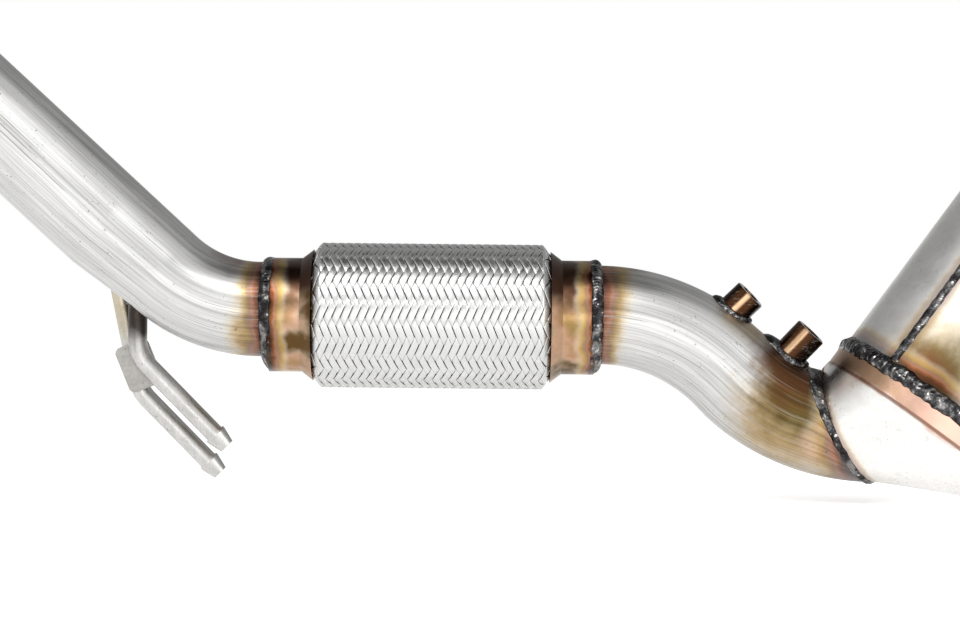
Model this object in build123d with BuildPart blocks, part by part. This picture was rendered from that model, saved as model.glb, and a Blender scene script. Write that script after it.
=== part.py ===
"""Diesel particulate filter with its down pipe.

Gas enters at the inlet flange, whose mating face is centred on the origin, runs down the
canister and the outlet dome, and leaves along an S-shaped pipe, a braided flexible section
and a bent front pipe, towards -X. The centre line lies in the XZ plane. Each station on it
is a plane: z along the flow, x square to it on the upper side, y away from the viewer (+Y).
"""

from build123d import *
import os
from math import atan2, cos, degrees, radians, sin, sqrt

# Common sheet and tube
tube_diameter = 63.5
tube_wall = 1.5
weld_lip = 0.3

# Inlet flange and the angle of the canister's axis above the horizontal
canister_tilt = 54.0
flange_thickness = 12.0
flange_lug_radius = 14.0
flange_body_radius = 44.0
bolt_circle = 100.0
bolt_hole_diameter = 10.5
bolt_count = 3
flange_edge = 1.0
neck_seat = 6.0
flange_weld_leg = 5.0
flange_weld_belly = 3.0

# Inlet cone
neck_length = 18.0
cone_length = 62.0

# Canister, with a lap joint at each end
canister_diameter = 144.0
canister_wall = 1.5
canister_length = 230.0
cap_wall = 2.0
skirt_length = 13.0
lap_gap = 1.0
girth_weld_cap_side = 3.5
girth_weld_shell_side = 6.5
girth_weld_crown = 2.0
girth_weld_crown_place = -1.0
seam_weld_width = 6.5
seam_weld_height = 1.2
seam_weld_turn = -46.0

# Filter block and its mat
mat_thickness = 5.0
mat_inset = 4.0
brick_length = 150.0
brick_to_outlet = 30.0
channel_pitch = 12.0
channel_width = 7.0
plug_depth = 8.0

# Sensor boss on the canister, upstream of the block
inlet_boss_from_top = 38.0
inlet_boss_height = 13.0

# Outlet dome: where its mouth lies below the rim, and how it is tipped
mouth_side_shift = 41.1
mouth_depth = 40.8
mouth_tip = 28.0
mouth_roll = -21.0
mouth_diameter = 69.5
mouth_lip = 2.0
dome_swell = 1.6
mouth_weld_radius = 2.9

# S-shaped pipe, flattened a little by its bends, most of all towards the flexible section
outlet_turn = 60.0
mid_bend_radius = 116.0
mid_flare_length = 38.0
mid_first_bend = 36.0
mid_straight = 14.8
mid_lead = 3.0
mid_across = 62.5
mid_flat_across = 61.0
mid_end_across = 59.0
mid_through = 66.5
rear_offset = 1.9

# Sensor bosses on the S-shaped pipe: stations along the bends, lean and roll of their axes
boss_diameter = 20.5
boss_bore = 12.4
boss_edge = 0.6
boss_weld_leg = 5.5
boss_roll = -10.0
tall_boss_station = 31.0
tall_boss_lean = 5.6
tall_boss_reach = 51.2
short_boss_station = 10.0
short_boss_lean = 13.4
short_boss_reach = 45.2

# Flexible section
flex_length = 200.0
collar_diameter = 70.4
collar_wall = 2.0
collar_straight = 20.0
cup_diameter = 81.0
cup_length = 7.0
cup_edge = 1.6
bellows_wall = 0.8
bellows_root_diameter = 66.0
bellows_crest_diameter = 80.0
bellows_pitch = 7.4
bellows_count = 17
bellows_cuff = 25.0
liner_wall = 1.2
liner_diameter = 62.8
liner_rib = 0.5
liner_pitch = 11.0
liner_inset = 3.0

# Braid: rows of slanted ribbons round a many-sided sleeve
braid_rows = 24
braid_diameter = 88.6
braid_wall = 1.4
braid_shoulder = 5.0
braid_tuck = 5.0
braid_gap = 0.3
ribbon_count = 25
ribbon_width = 3.9
ribbon_height = 0.7
ribbon_slant = 62.0
row_gap = 0.5

# Front pipe: lead, flattened bend, straight run and an end sized to slip into a sleeve
front_offset = 3.3
front_lead = 6.4
front_bend_radius = 88.2
front_bend = 42.3
front_across = 58.5
front_through = 68.0
front_round_off = 45.0
front_straight = 182.0
slip_taper = 4.0
slip_length = 60.0
slip_diameter = 61.5

# Girth welds at the two ends of the flexible section
ring_weld_pipe_side = 5.0
ring_weld_collar_side = 4.5
ring_weld_crown = 2.2

# Hanger rods
rod_diameter = 12.0
rod_bend_radius = 24.0
rod_head_diameter = 14.2
rod_tip_diameter = 9.8
rod_head_length = 11.0
rod_head_rim = 1.6
near_rod_depth = 22.0
near_rod_station = 23.5
near_rod_leg = 66.3
near_rod_arm = 69.3
near_rod_down = 132.3
near_rod_bend = 45.0
far_rod_station = 54.4
far_rod_leg = 112.6
far_rod_arm = 61.4
far_rod_down = 144.0
far_rod_bend = 33.3
web_width = 22.0
web_length = 30.0
web_corner = 4.0
web_lower = 14.0
back_weld_diameter = 19.0
rod_weld_leg = 3.0

# Sizes that follow from those above
canister_radius = canister_diameter / 2
cap_radius = canister_radius + cap_wall
tube_radius = tube_diameter / 2
collar_radius = collar_diameter / 2
rod_radius = rod_diameter / 2
boss_radius = boss_diameter / 2
far_rod_depth = tube_radius + rod_radius
mid_second_bend = outlet_turn + mid_first_bend - canister_tilt
mid_flare_turn = degrees(mid_flare_length / mid_bend_radius)


def moved(plane, x=0.0, y=0.0, z=0.0, turn=(0.0, 0.0, 0.0)):
    """Station shifted, then turned, in its own directions."""
    return plane.moved(Location((x, y, z), turn))


def crosswise(plane):
    """Same station with its sketch x along the flattened tube's long diameter."""
    return moved(plane, turn=(0, 0, 90))


def half_section(plane):
    """Sketch plane through the flow axis: x is the radius, y is the distance along."""
    return Plane(plane.origin, x_dir=plane.x_dir, z_dir=plane.y_dir * -1)


def flow_axis(plane):
    return Axis(plane.origin, plane.z_dir)


def bend_axis(plane, radius, angle):
    """Axis a tube bends about: on the upper side for a positive angle."""
    side = 1 if angle > 0 else -1
    return Axis(plane.origin + plane.x_dir * (side * radius), plane.y_dir * side)


def after_bend(plane, radius, angle):
    """Station at the far end of a bend."""
    side = 1 if angle > 0 else -1
    rise = side * radius * (1 - cos(radians(angle)))
    run = radius * sin(radians(abs(angle)))
    return moved(plane, x=rise, z=run, turn=(0, angle, 0))


# Stations along the centre line
inlet = Plane(
    (0, 0, 0),
    x_dir=(-sin(radians(canister_tilt)), 0, cos(radians(canister_tilt))),
    z_dir=(-cos(radians(canister_tilt)), 0, -sin(radians(canister_tilt))),
)
neck_start = moved(inlet, z=flange_thickness - neck_seat)
cone_start = moved(neck_start, z=neck_length)
cone_end = moved(cone_start, z=cone_length)
inlet_rim = moved(cone_end, z=skirt_length)
canister_start = moved(cone_end, z=lap_gap)
canister_end = moved(canister_start, z=canister_length)
dome_crease = moved(canister_end, z=lap_gap)
dome_rim = moved(dome_crease, z=-skirt_length)
mouth_centre = moved(dome_rim, x=mouth_side_shift, z=mouth_depth)
mouth = moved(mouth_centre, turn=(0, mouth_tip, 0)).moved(Location((0, 0, 0), (mouth_roll, 0, 0)))
mid_start = moved(mouth_centre, turn=(0, outlet_turn, 0))
mid_flare_end = after_bend(mid_start, mid_bend_radius, mid_flare_turn)
mid_straight_start = after_bend(mid_start, mid_bend_radius, mid_first_bend)
mid_straight_end = moved(mid_straight_start, z=mid_straight)
mid_lead_start = after_bend(mid_straight_end, mid_bend_radius, -mid_second_bend)
mid_end = moved(mid_lead_start, z=mid_lead)
flex_start = moved(mid_end, x=-rear_offset)
flex_centre = moved(flex_start, z=flex_length / 2)
flex_end = moved(flex_start, z=flex_length)
front_start = moved(flex_end, x=front_offset)
front_bend_start = moved(front_start, z=front_lead)
front_bend_end = after_bend(front_bend_start, front_bend_radius, front_bend)
front_straight_start = moved(
    front_bend_end, x=-(tube_diameter - front_across) / 2, z=front_round_off
)
slip_taper_start = moved(front_straight_start, z=front_straight)
slip_start = moved(slip_taper_start, z=slip_taper)


def oval(plane, across, through, inset=0.0):
    """Section of a flattened tube on a station, drawn in by an inset."""
    with BuildSketch(crosswise(plane)) as section:
        Ellipse(through / 2 - inset, across / 2 - inset)
    return section.sketch.face()


def disc(plane, radius):
    with BuildSketch(crosswise(plane)) as section:
        Circle(radius)
    return section.sketch.face()


def mid_pipe_body(inset):
    """Everything inside the S-shaped pipe's skin, drawn in by an inset."""
    slant = (outlet_turn - mouth_tip) / 2
    half_way = after_bend(mid_start, mid_bend_radius, mid_flare_turn / 2)
    slanted = moved(half_way, turn=(0, -slant, 0))
    slant_across = mid_across / cos(radians(slant))
    first = mid_first_bend - mid_flare_turn
    first_axis = bend_axis(mid_flare_end, mid_bend_radius, first)
    second_axis = bend_axis(mid_straight_end, mid_bend_radius, -mid_second_bend)
    mouth_radius = mouth_diameter / 2 - inset
    flare_start = disc(moved(mouth, z=mouth_lip), mouth_radius)
    flare_middle = oval(slanted, slant_across, mid_through, inset)
    flare_end = oval(mid_flare_end, mid_across, mid_through, inset)
    straight_start = oval(mid_straight_start, mid_across, mid_through, inset)
    straight_end = oval(mid_straight_end, mid_flat_across, mid_through, inset)
    lead_start = oval(mid_lead_start, mid_flat_across, mid_through, inset)
    lead_end = oval(mid_end, mid_end_across, mid_through, inset)
    with BuildPart() as body:
        extrude(disc(mouth, mouth_radius), amount=mouth_lip)
        loft([flare_start, flare_middle, flare_end])
        revolve(flare_end, axis=first_axis, revolution_arc=first)
        loft([straight_start, straight_end])
        revolve(straight_end, axis=second_axis, revolution_arc=mid_second_bend)
        loft([lead_start, lead_end])
    return body.part


def front_section(plane, inset):
    return oval(plane, front_across, front_through, inset)


def front_pipe_body(inset):
    """Everything inside the front pipe's skin, drawn in by an inset."""
    turning_axis = bend_axis(front_bend_start, front_bend_radius, front_bend)
    with BuildPart() as body:
        extrude(front_section(front_start, inset), amount=front_lead)
        revolve(front_section(front_bend_start, inset), axis=turning_axis, revolution_arc=front_bend)
        loft([front_section(front_bend_end, inset), disc(front_straight_start, tube_radius - inset)])
        extrude(disc(front_straight_start, tube_radius - inset), amount=front_straight)
        loft([disc(slip_taper_start, tube_radius - inset), disc(slip_start, slip_diameter / 2 - inset)])
        extrude(disc(slip_start, slip_diameter / 2 - inset), amount=slip_length)
    return body.part


def dome_body(inset):
    """Everything inside the outlet dome's skin below its crease, drawn in by an inset."""
    reach_x = mouth_diameter / 2 * cos(radians(mouth_tip))
    reach_z = mouth_diameter / 2 * sin(radians(mouth_tip))
    upper_x = (cap_radius + mouth_side_shift + reach_x) / 2
    upper_z = (skirt_length + mouth_depth - reach_z) / 2
    lower_x = (-cap_radius + mouth_side_shift - reach_x) / 2
    lower_z = (skirt_length + mouth_depth + reach_z) / 2
    span = sqrt((upper_x - lower_x) ** 2 + (lower_z - upper_z) ** 2) / 2
    tip = degrees(atan2(lower_z - upper_z, upper_x - lower_x))
    half_way = moved(
        dome_rim, x=(upper_x + lower_x) / 2, z=(upper_z + lower_z) / 2, turn=(0, tip, 0)
    )
    waist = (cap_radius + mouth_diameter / 2) / 2
    sections = [
        disc(dome_crease, cap_radius - inset),
        oval(half_way, 2 * (span + dome_swell), 2 * (waist + dome_swell), inset),
        disc(mouth, mouth_diameter / 2 - inset),
    ]
    with BuildPart() as body:
        loft(sections)
    return body.part


def rod_body(root, leg, bend, arm):
    """Hanger rod: a leg from the pipe, one bend and an arm that ends in a tapered head."""
    set_back = rod_bend_radius * sin(radians(bend / 2)) / cos(radians(bend / 2))
    bend_start = moved(root, z=leg - set_back)
    arm_start = after_bend(bend_start, rod_bend_radius, -bend)
    head_start = moved(arm_start, z=arm - set_back)
    head_rim_end = moved(head_start, z=rod_head_rim)
    with BuildPart() as body:
        with BuildSketch(root):
            Circle(rod_radius)
        extrude(amount=leg - set_back)
        with BuildSketch(bend_start):
            Circle(rod_radius)
        revolve(axis=bend_axis(bend_start, rod_bend_radius, -bend), revolution_arc=bend)
        with BuildSketch(arm_start):
            Circle(rod_radius)
        extrude(amount=arm - set_back)
        with BuildSketch(head_start):
            Circle(rod_head_diameter / 2)
        extrude(amount=rod_head_rim)
        with BuildSketch(head_rim_end):
            Circle(rod_head_diameter / 2)
        with BuildSketch(moved(head_start, z=rod_head_length)):
            Circle(rod_tip_diameter / 2)
        loft()
    return body.part


def boss_plane(station, lean):
    """Plane on the centre line with z along a sensor boss's axis."""
    tipped = moved(station, turn=(0, lean, 0)).moved(Location((0, 0, 0), (0, 0, boss_roll)))
    return Plane(station.origin, x_dir=tipped.z_dir, z_dir=tipped.x_dir)


def boss_body(plane, reach):
    with BuildPart() as body:
        with BuildSketch(plane):
            Circle(boss_radius)
        extrude(amount=reach)
        top = body.edges().filter_by(GeomType.CIRCLE).sort_by(flow_axis(plane))[-1]
        chamfer(top, length=boss_edge)
    return body.part


def boss_weld_body(plane, surface):
    """Cone of weld metal whose foot is one leg outside the boss at the pipe's surface."""
    with BuildPart() as body:
        with BuildSketch(moved(plane, z=surface - boss_weld_leg)):
            Circle(boss_radius + 2 * boss_weld_leg)
        with BuildSketch(moved(plane, z=surface + boss_weld_leg)):
            Circle(boss_radius + weld_lip)
        loft()
    return body.part


def bore_cut(plane, reach):
    with BuildPart() as body:
        with BuildSketch(plane):
            Circle(boss_bore / 2)
        extrude(amount=reach + boss_edge)
    return body.part


def save(builder, name):
    builder.part.label = name
    export_step(builder.part, f"parts/{name}.step")


os.makedirs("parts", exist_ok=True)

# Inlet flange: a three-lugged plate with a seat for the cone's neck
with BuildPart() as inlet_flange:
    with BuildSketch(inlet) as outline:
        Circle(flange_body_radius)
        with PolarLocations(bolt_circle / 2, bolt_count):
            Circle(flange_lug_radius)
        make_hull()
    extrude(amount=flange_thickness)
    chamfer(inlet_flange.edges().filter_by(GeomType.CIRCLE).sort_by(flow_axis(inlet))[-3:], flange_edge)
    with BuildSketch(inlet):
        Circle(tube_radius - tube_wall)
        with PolarLocations(bolt_circle / 2, bolt_count):
            Circle(bolt_hole_diameter / 2)
    extrude(amount=flange_thickness, mode=Mode.SUBTRACT)
    with BuildSketch(neck_start):
        Circle(tube_radius)
    extrude(amount=neck_seat, mode=Mode.SUBTRACT)
save(inlet_flange, "inlet_flange")

# Fillet weld between the flange's back and the neck
with BuildPart() as flange_weld:
    with BuildSketch(half_section(moved(inlet, z=flange_thickness))):
        with BuildLine():
            corner = (tube_radius, 0)
            foot = (tube_radius + flange_weld_leg, 0)
            rise = (tube_radius, flange_weld_leg)
            Line(corner, foot)
            ThreePointArc(foot, (tube_radius + flange_weld_belly, flange_weld_belly), rise)
            Line(rise, corner)
        make_face()
    revolve(axis=flow_axis(inlet))
save(flange_weld, "flange_weld")

# Inlet cone: neck, cone and skirt pressed from one sheet
with BuildPart() as inlet_cone:
    with BuildSketch(half_section(neck_start)):
        with BuildLine():
            Polyline(
                (tube_radius - tube_wall, 0),
                (tube_radius, 0),
                (tube_radius, neck_length),
                (cap_radius, neck_length + cone_length),
                (cap_radius, neck_length + cone_length + skirt_length),
                (canister_radius, neck_length + cone_length + skirt_length),
                (canister_radius, neck_length + cone_length),
                (tube_radius - tube_wall, neck_length),
                close=True,
            )
        make_face()
    revolve(axis=flow_axis(inlet))
save(inlet_cone, "inlet_cone")


def girth_weld(rim):
    """Bead over a lap joint: z of the rim station points from the canister to the cap."""
    low = (cap_radius, girth_weld_cap_side)
    high = (canister_radius, -girth_weld_shell_side)
    crown = (cap_radius + girth_weld_crown, girth_weld_crown_place)
    with BuildPart() as bead:
        with BuildSketch(half_section(rim)):
            with BuildLine():
                Line(low, (cap_radius, 0))
                Line((cap_radius, 0), (canister_radius, 0))
                Line((canister_radius, 0), high)
                ThreePointArc(high, crown, low)
            make_face()
        revolve(axis=flow_axis(rim))
    return bead


inlet_girth_weld = girth_weld(moved(inlet_rim, turn=(0, 180, 0)))
save(inlet_girth_weld, "inlet_girth_weld")
outlet_girth_weld = girth_weld(dome_rim)
save(outlet_girth_weld, "outlet_girth_weld")

# Upstream sensor boss, on the upper side of the canister
inlet_boss_centre = moved(canister_start, z=inlet_boss_from_top)
inlet_boss_axis = Plane(
    inlet_boss_centre.origin, x_dir=inlet_boss_centre.z_dir, z_dir=inlet_boss_centre.x_dir
)
inlet_boss_reach = canister_radius + inlet_boss_height

inlet_boss_bore = bore_cut(inlet_boss_axis, inlet_boss_reach)
inlet_boss_blank = boss_body(inlet_boss_axis, inlet_boss_reach)
inlet_boss_cone = boss_weld_body(inlet_boss_axis, canister_radius)

with BuildPart() as canister_solid:
    with BuildSketch(canister_start):
        Circle(canister_radius)
    extrude(amount=canister_length)

with BuildPart() as canister_shell:
    with BuildSketch(canister_start):
        Circle(canister_radius)
        Circle(canister_radius - canister_wall, mode=Mode.SUBTRACT)
    extrude(amount=canister_length)
    add(inlet_boss_bore, mode=Mode.SUBTRACT)
save(canister_shell, "canister_shell")

with BuildPart() as inlet_sensor_boss:
    add(inlet_boss_blank)
    add(canister_solid.part, mode=Mode.SUBTRACT)
    add(inlet_boss_bore, mode=Mode.SUBTRACT)
save(inlet_sensor_boss, "inlet_sensor_boss")

with BuildPart() as inlet_boss_weld:
    add(inlet_boss_cone)
    add(canister_solid.part, mode=Mode.SUBTRACT)
    add(inlet_boss_blank, mode=Mode.SUBTRACT)
save(inlet_boss_weld, "inlet_boss_weld")

# Lengthwise seam weld, proud of the rolled shell between the two girth beads
seam_start = moved(inlet_rim, z=girth_weld_shell_side, turn=(0, 0, seam_weld_turn))
seam_length = (dome_rim.origin - inlet_rim.origin).length - 2 * girth_weld_shell_side
seam_half_angle = seam_weld_width / 2 / canister_radius
with BuildPart() as canister_seam_weld:
    with BuildSketch(seam_start):
        with BuildLine():
            left = (canister_radius * cos(seam_half_angle), -canister_radius * sin(seam_half_angle))
            right = (canister_radius * cos(seam_half_angle), canister_radius * sin(seam_half_angle))
            ThreePointArc(left, (canister_radius, 0), right)
            ThreePointArc(right, (canister_radius + seam_weld_height, 0), left)
        make_face()
    extrude(amount=seam_length)
save(canister_seam_weld, "canister_seam_weld")

# Filter block: square channels, blocked in turn at one end or the other
brick_radius = canister_radius - canister_wall - mat_thickness
brick_start = moved(canister_end, z=-brick_to_outlet - brick_length)
channel_reach = int((brick_radius - channel_width) / channel_pitch)
channel_rows = range(-channel_reach, channel_reach + 1)


def channel_centres(parity):
    """Grid points of one parity whose square channel stays inside the block."""
    limit = brick_radius - channel_width
    points = [(column * channel_pitch, row * channel_pitch)
              for column in channel_rows for row in channel_rows
              if (column + row) % 2 == parity]
    return [point for point in points if sqrt(point[0] ** 2 + point[1] ** 2) < limit]


with BuildPart() as filter_brick:
    with BuildSketch(brick_start):
        Circle(brick_radius)
    extrude(amount=brick_length)
    with BuildSketch(brick_start):
        with Locations(*channel_centres(0)):
            Rectangle(channel_width, channel_width)
    extrude(amount=brick_length - plug_depth, mode=Mode.SUBTRACT)
    with BuildSketch(moved(brick_start, z=plug_depth)):
        with Locations(*channel_centres(1)):
            Rectangle(channel_width, channel_width)
    extrude(amount=brick_length - plug_depth, mode=Mode.SUBTRACT)
save(filter_brick, "filter_brick")

with BuildPart() as support_mat:
    with BuildSketch(moved(brick_start, z=mat_inset)):
        Circle(canister_radius - canister_wall)
        Circle(brick_radius, mode=Mode.SUBTRACT)
    extrude(amount=brick_length - 2 * mat_inset)
save(support_mat, "support_mat")

# Outlet dome: a skirt over the canister, a crease, and a bowl drawn out to a tipped mouth
dome_outer = dome_body(0)
dome_inner = dome_body(cap_wall)
with BuildPart() as outlet_dome:
    with BuildSketch(dome_rim):
        Circle(cap_radius)
    extrude(amount=skirt_length)
    add(dome_outer)
    with BuildSketch(dome_rim):
        Circle(canister_radius)
    extrude(amount=skirt_length, mode=Mode.SUBTRACT)
    add(dome_inner, mode=Mode.SUBTRACT)
save(outlet_dome, "outlet_dome")

# S-shaped pipe with holes under its two sensor bosses
mid_outer = mid_pipe_body(0)
mid_inner = mid_pipe_body(tube_wall)
tall_boss_axis = boss_plane(
    after_bend(mid_start, mid_bend_radius, tall_boss_station), tall_boss_lean
)
short_boss_axis = boss_plane(
    after_bend(mid_straight_end, mid_bend_radius, -short_boss_station), short_boss_lean
)
tall_boss_bore = bore_cut(tall_boss_axis, tall_boss_reach)
short_boss_bore = bore_cut(short_boss_axis, short_boss_reach)
with BuildPart() as mid_pipe:
    add(mid_outer)
    add(mid_inner, mode=Mode.SUBTRACT)
    add(tall_boss_bore, mode=Mode.SUBTRACT)
    add(short_boss_bore, mode=Mode.SUBTRACT)
save(mid_pipe, "mid_pipe")


def sensor_boss(plane, reach, bore):
    blank = boss_body(plane, reach)
    with BuildPart() as boss:
        add(blank)
        add(mid_outer, mode=Mode.SUBTRACT)
        add(bore, mode=Mode.SUBTRACT)
    return boss


def sensor_boss_weld(plane, reach):
    blank = boss_body(plane, reach)
    cone = boss_weld_body(plane, mid_across / 2)
    with BuildPart() as weld:
        add(cone)
        add(mid_outer, mode=Mode.SUBTRACT)
        add(blank, mode=Mode.SUBTRACT)
    return weld


tall_sensor_boss = sensor_boss(tall_boss_axis, tall_boss_reach, tall_boss_bore)
save(tall_sensor_boss, "tall_sensor_boss")
short_sensor_boss = sensor_boss(short_boss_axis, short_boss_reach, short_boss_bore)
save(short_sensor_boss, "short_sensor_boss")
tall_boss_weld = sensor_boss_weld(tall_boss_axis, tall_boss_reach)
save(tall_boss_weld, "tall_boss_weld")
short_boss_weld = sensor_boss_weld(short_boss_axis, short_boss_reach)
save(short_boss_weld, "short_boss_weld")

# Bead round the dome's mouth
with BuildPart() as outlet_weld:
    with BuildSketch(half_section(mouth)):
        with Locations((mouth_diameter / 2, 0)):
            Circle(mouth_weld_radius)
    revolve(axis=flow_axis(mouth))
    add(mid_outer, mode=Mode.SUBTRACT)
    add(dome_outer, mode=Mode.SUBTRACT)
save(outlet_weld, "outlet_weld")


def ring_weld(joint, pipe, offset, across, through):
    """Bead from a pipe's end to a collar: z of the joint points to the collar."""
    foot = moved(joint, x=offset, z=-ring_weld_pipe_side)
    pipe_crown = moved(joint, x=offset, z=-ring_weld_pipe_side / 2)
    collar_crown = moved(joint, z=ring_weld_collar_side / 2)
    sections = [
        oval(foot, across, through, -weld_lip),
        oval(pipe_crown, across, through, -ring_weld_crown),
        disc(collar_crown, collar_radius + ring_weld_crown),
        disc(moved(joint, z=ring_weld_collar_side), collar_radius + weld_lip),
    ]
    with BuildPart() as bead:
        loft(sections, ruled=True)
        add(pipe, mode=Mode.SUBTRACT)
        with BuildSketch(joint):
            Circle(collar_radius)
        extrude(amount=ring_weld_collar_side, mode=Mode.SUBTRACT)
    return bead


rear_girth_weld = ring_weld(flex_start, mid_outer, rear_offset, mid_end_across, mid_through)
save(rear_girth_weld, "rear_girth_weld")

# Collars of the flexible section: a sleeve that opens into a cup over the braid
cup_radius = cup_diameter / 2


def flex_collar(end):
    """Collar on an end station whose z points into the flexible section."""
    cup_start = collar_straight
    cup_end = collar_straight + cup_length
    with BuildPart() as collar:
        with BuildSketch(half_section(end)):
            with BuildLine():
                Polyline(
                    (collar_radius, 0),
                    (collar_radius, cup_start),
                    (cup_radius, cup_end),
                    (cup_radius - cup_edge, cup_end),
                    (collar_radius - collar_wall, cup_start - collar_wall / 2),
                    (collar_radius - collar_wall, 0),
                    close=True,
                )
            make_face()
        revolve(axis=flow_axis(end))
    return collar


flex_rear_collar = flex_collar(flex_start)
save(flex_rear_collar, "flex_rear_collar")
flex_front_collar = flex_collar(moved(flex_end, turn=(0, 180, 0)))
save(flex_front_collar, "flex_front_collar")

# Bellows: cuffs inside the collars and a row of folds between them
cuff_radius = collar_radius - collar_wall
root_radius = bellows_root_diameter / 2
crest_radius = bellows_crest_diameter / 2
fold_start = (flex_length - bellows_count * bellows_pitch) / 2


def bellows_line(inset):
    """Profile of the bellows from one cuff to the other, drawn in by an inset."""
    points = [(cuff_radius - inset, liner_inset), (cuff_radius - inset, bellows_cuff)]
    points.append((root_radius - inset, fold_start))
    for fold in range(bellows_count):
        foot = fold_start + fold * bellows_pitch
        points.append((crest_radius - inset, foot + bellows_pitch / 2))
        points.append((root_radius - inset, foot + bellows_pitch))
    points.append((cuff_radius - inset, flex_length - bellows_cuff))
    points.append((cuff_radius - inset, flex_length - liner_inset))
    return points


with BuildPart() as flex_bellows:
    with BuildSketch(half_section(flex_start)):
        with BuildLine():
            Polyline(*bellows_line(0), *reversed(bellows_line(bellows_wall)), close=True)
        make_face()
    revolve(axis=flow_axis(flex_start))
save(flex_bellows, "flex_bellows")

# Interlock liner: a plain tube with a rib at each lock and a thick cuff at each end
liner_radius = liner_diameter / 2
liner_cuff_radius = cuff_radius - bellows_wall
lock_count = int((flex_length - 2 * bellows_cuff) / liner_pitch)
with BuildPart() as flex_liner:
    with BuildSketch(moved(flex_start, z=liner_inset)):
        Circle(liner_radius)
    extrude(amount=flex_length - 2 * liner_inset)
    with BuildSketch(half_section(flex_start)):
        for lock in range(lock_count):
            middle = flex_length / 2 + (lock - (lock_count - 1) / 2) * liner_pitch
            with Locations((liner_radius, middle)):
                Rectangle(2 * liner_rib, liner_pitch / 2)
        for middle in (bellows_cuff / 2, flex_length - bellows_cuff / 2):
            with Locations((liner_radius, middle)):
                Rectangle(2 * (liner_cuff_radius - liner_radius), bellows_cuff - 2 * liner_inset)
    revolve(axis=flow_axis(flex_start))
    with BuildSketch(moved(flex_start, z=liner_inset)):
        Circle(liner_radius - liner_wall)
    extrude(amount=flex_length - 2 * liner_inset, mode=Mode.SUBTRACT)
save(flex_liner, "flex_liner")

# Braid: one pair of neighbouring rows, with slanted ribbons, repeated round the axis
row_angle = 360 / braid_rows
braid_radius = braid_diameter / 2
shoulder_radius = cup_radius - cup_edge - braid_gap
braid_end_radius = cuff_radius + braid_wall + braid_gap
braid_length = flex_length - 2 * (collar_straight + cup_length - braid_tuck)
body_start = braid_tuck + braid_shoulder
body_length = braid_length - 2 * body_start
row_width = 2 * braid_radius * sin(radians(row_angle / 2))
row_apothem = braid_radius * cos(radians(row_angle / 2))


def polygon(plane, radius):
    with BuildSketch(plane) as section:
        RegularPolygon(radius, braid_rows)
    return section.sketch.face()


def braid_body(inset):
    """Many-sided sleeve filled to its skin, drawn in by an inset."""
    half = braid_length / 2
    stations = [
        (-half, braid_end_radius),
        (braid_tuck - half, shoulder_radius),
        (body_start - half, braid_radius),
        (half - body_start, braid_radius),
        (half - braid_tuck, shoulder_radius),
        (half, braid_end_radius),
    ]
    sections = [polygon(moved(flex_centre, z=z), radius - inset) for z, radius in stations]
    with BuildPart() as body:
        for near, far in zip(sections, sections[1:]):
            loft([near, far], ruled=True)
    return body.part


def ribbon_row(angle, slant):
    """Slanted ribbons on one flat of the sleeve."""
    flat = moved(flex_centre, turn=(0, 0, angle))
    face = Plane(flat.origin + flat.x_dir * row_apothem, x_dir=flat.z_dir, z_dir=flat.x_dir)
    pitch = body_length / ribbon_count
    height = row_width - row_gap
    lean = height / (2 * sin(radians(slant)) / cos(radians(slant)))
    with BuildPart() as row:
        with BuildSketch(face):
            with GridLocations(pitch, 1, ribbon_count - 1, 1):
                with BuildLine():
                    Polyline(
                        (-ribbon_width / 2 - lean, -height / 2),
                        (ribbon_width / 2 - lean, -height / 2),
                        (ribbon_width / 2 + lean, height / 2),
                        (-ribbon_width / 2 + lean, height / 2),
                        close=True,
                    )
                make_face()
        extrude(amount=ribbon_height)
    return row.part


braid_outer = braid_body(0)
braid_inner = braid_body(braid_wall)
ribbon_rows = [
    ribbon_row((row + 0.5) * row_angle, ribbon_slant if row % 2 else -ribbon_slant)
    for row in range(braid_rows)
]
with BuildPart() as flex_braid:
    add(braid_outer)
    add(braid_inner, mode=Mode.SUBTRACT)
    add(ribbon_rows)
save(flex_braid, "flex_braid")

# Front pipe
front_outer = front_pipe_body(0)
front_inner = front_pipe_body(tube_wall)
with BuildPart() as front_pipe:
    add(front_outer)
    add(front_inner, mode=Mode.SUBTRACT)
save(front_pipe, "front_pipe")

front_girth_weld = ring_weld(
    moved(flex_end, turn=(0, 180, 0)), front_outer, -front_offset, front_across, front_through
)
save(front_girth_weld, "front_girth_weld")

# Hanger rods behind the front pipe
straight_line = moved(front_straight_start, z=-front_round_off)
near_root = moved(straight_line, z=near_rod_station, turn=(0, -near_rod_down, 0))
near_root = moved(near_root, y=near_rod_depth)
far_root = moved(straight_line, z=far_rod_station, turn=(0, -far_rod_down, 0))
far_root = moved(far_root, y=far_rod_depth)
near_rod_solid = rod_body(near_root, near_rod_leg, near_rod_bend, near_rod_arm)
far_rod_solid = rod_body(far_root, far_rod_leg, far_rod_bend, far_rod_arm)

with BuildPart() as hanger_rod_near:
    add(near_rod_solid)
    add(front_outer, mode=Mode.SUBTRACT)
save(hanger_rod_near, "hanger_rod_near")

with BuildPart() as hanger_rod_far:
    add(far_rod_solid)
save(hanger_rod_far, "hanger_rod_far")

# Web plate clamped between the two rods where they bend
web_gap = far_rod_depth - near_rod_depth - rod_diameter
web_centre = moved(near_root, z=near_rod_leg + web_lower / 2, y=rod_radius, turn=(0, -near_rod_bend / 2, 0))
with BuildPart() as hanger_web:
    with BuildSketch(Plane(web_centre.origin, x_dir=web_centre.z_dir, z_dir=web_centre.y_dir)):
        RectangleRounded(web_length, web_width, web_corner)
    extrude(amount=web_gap)
save(hanger_web, "hanger_web")

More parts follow.
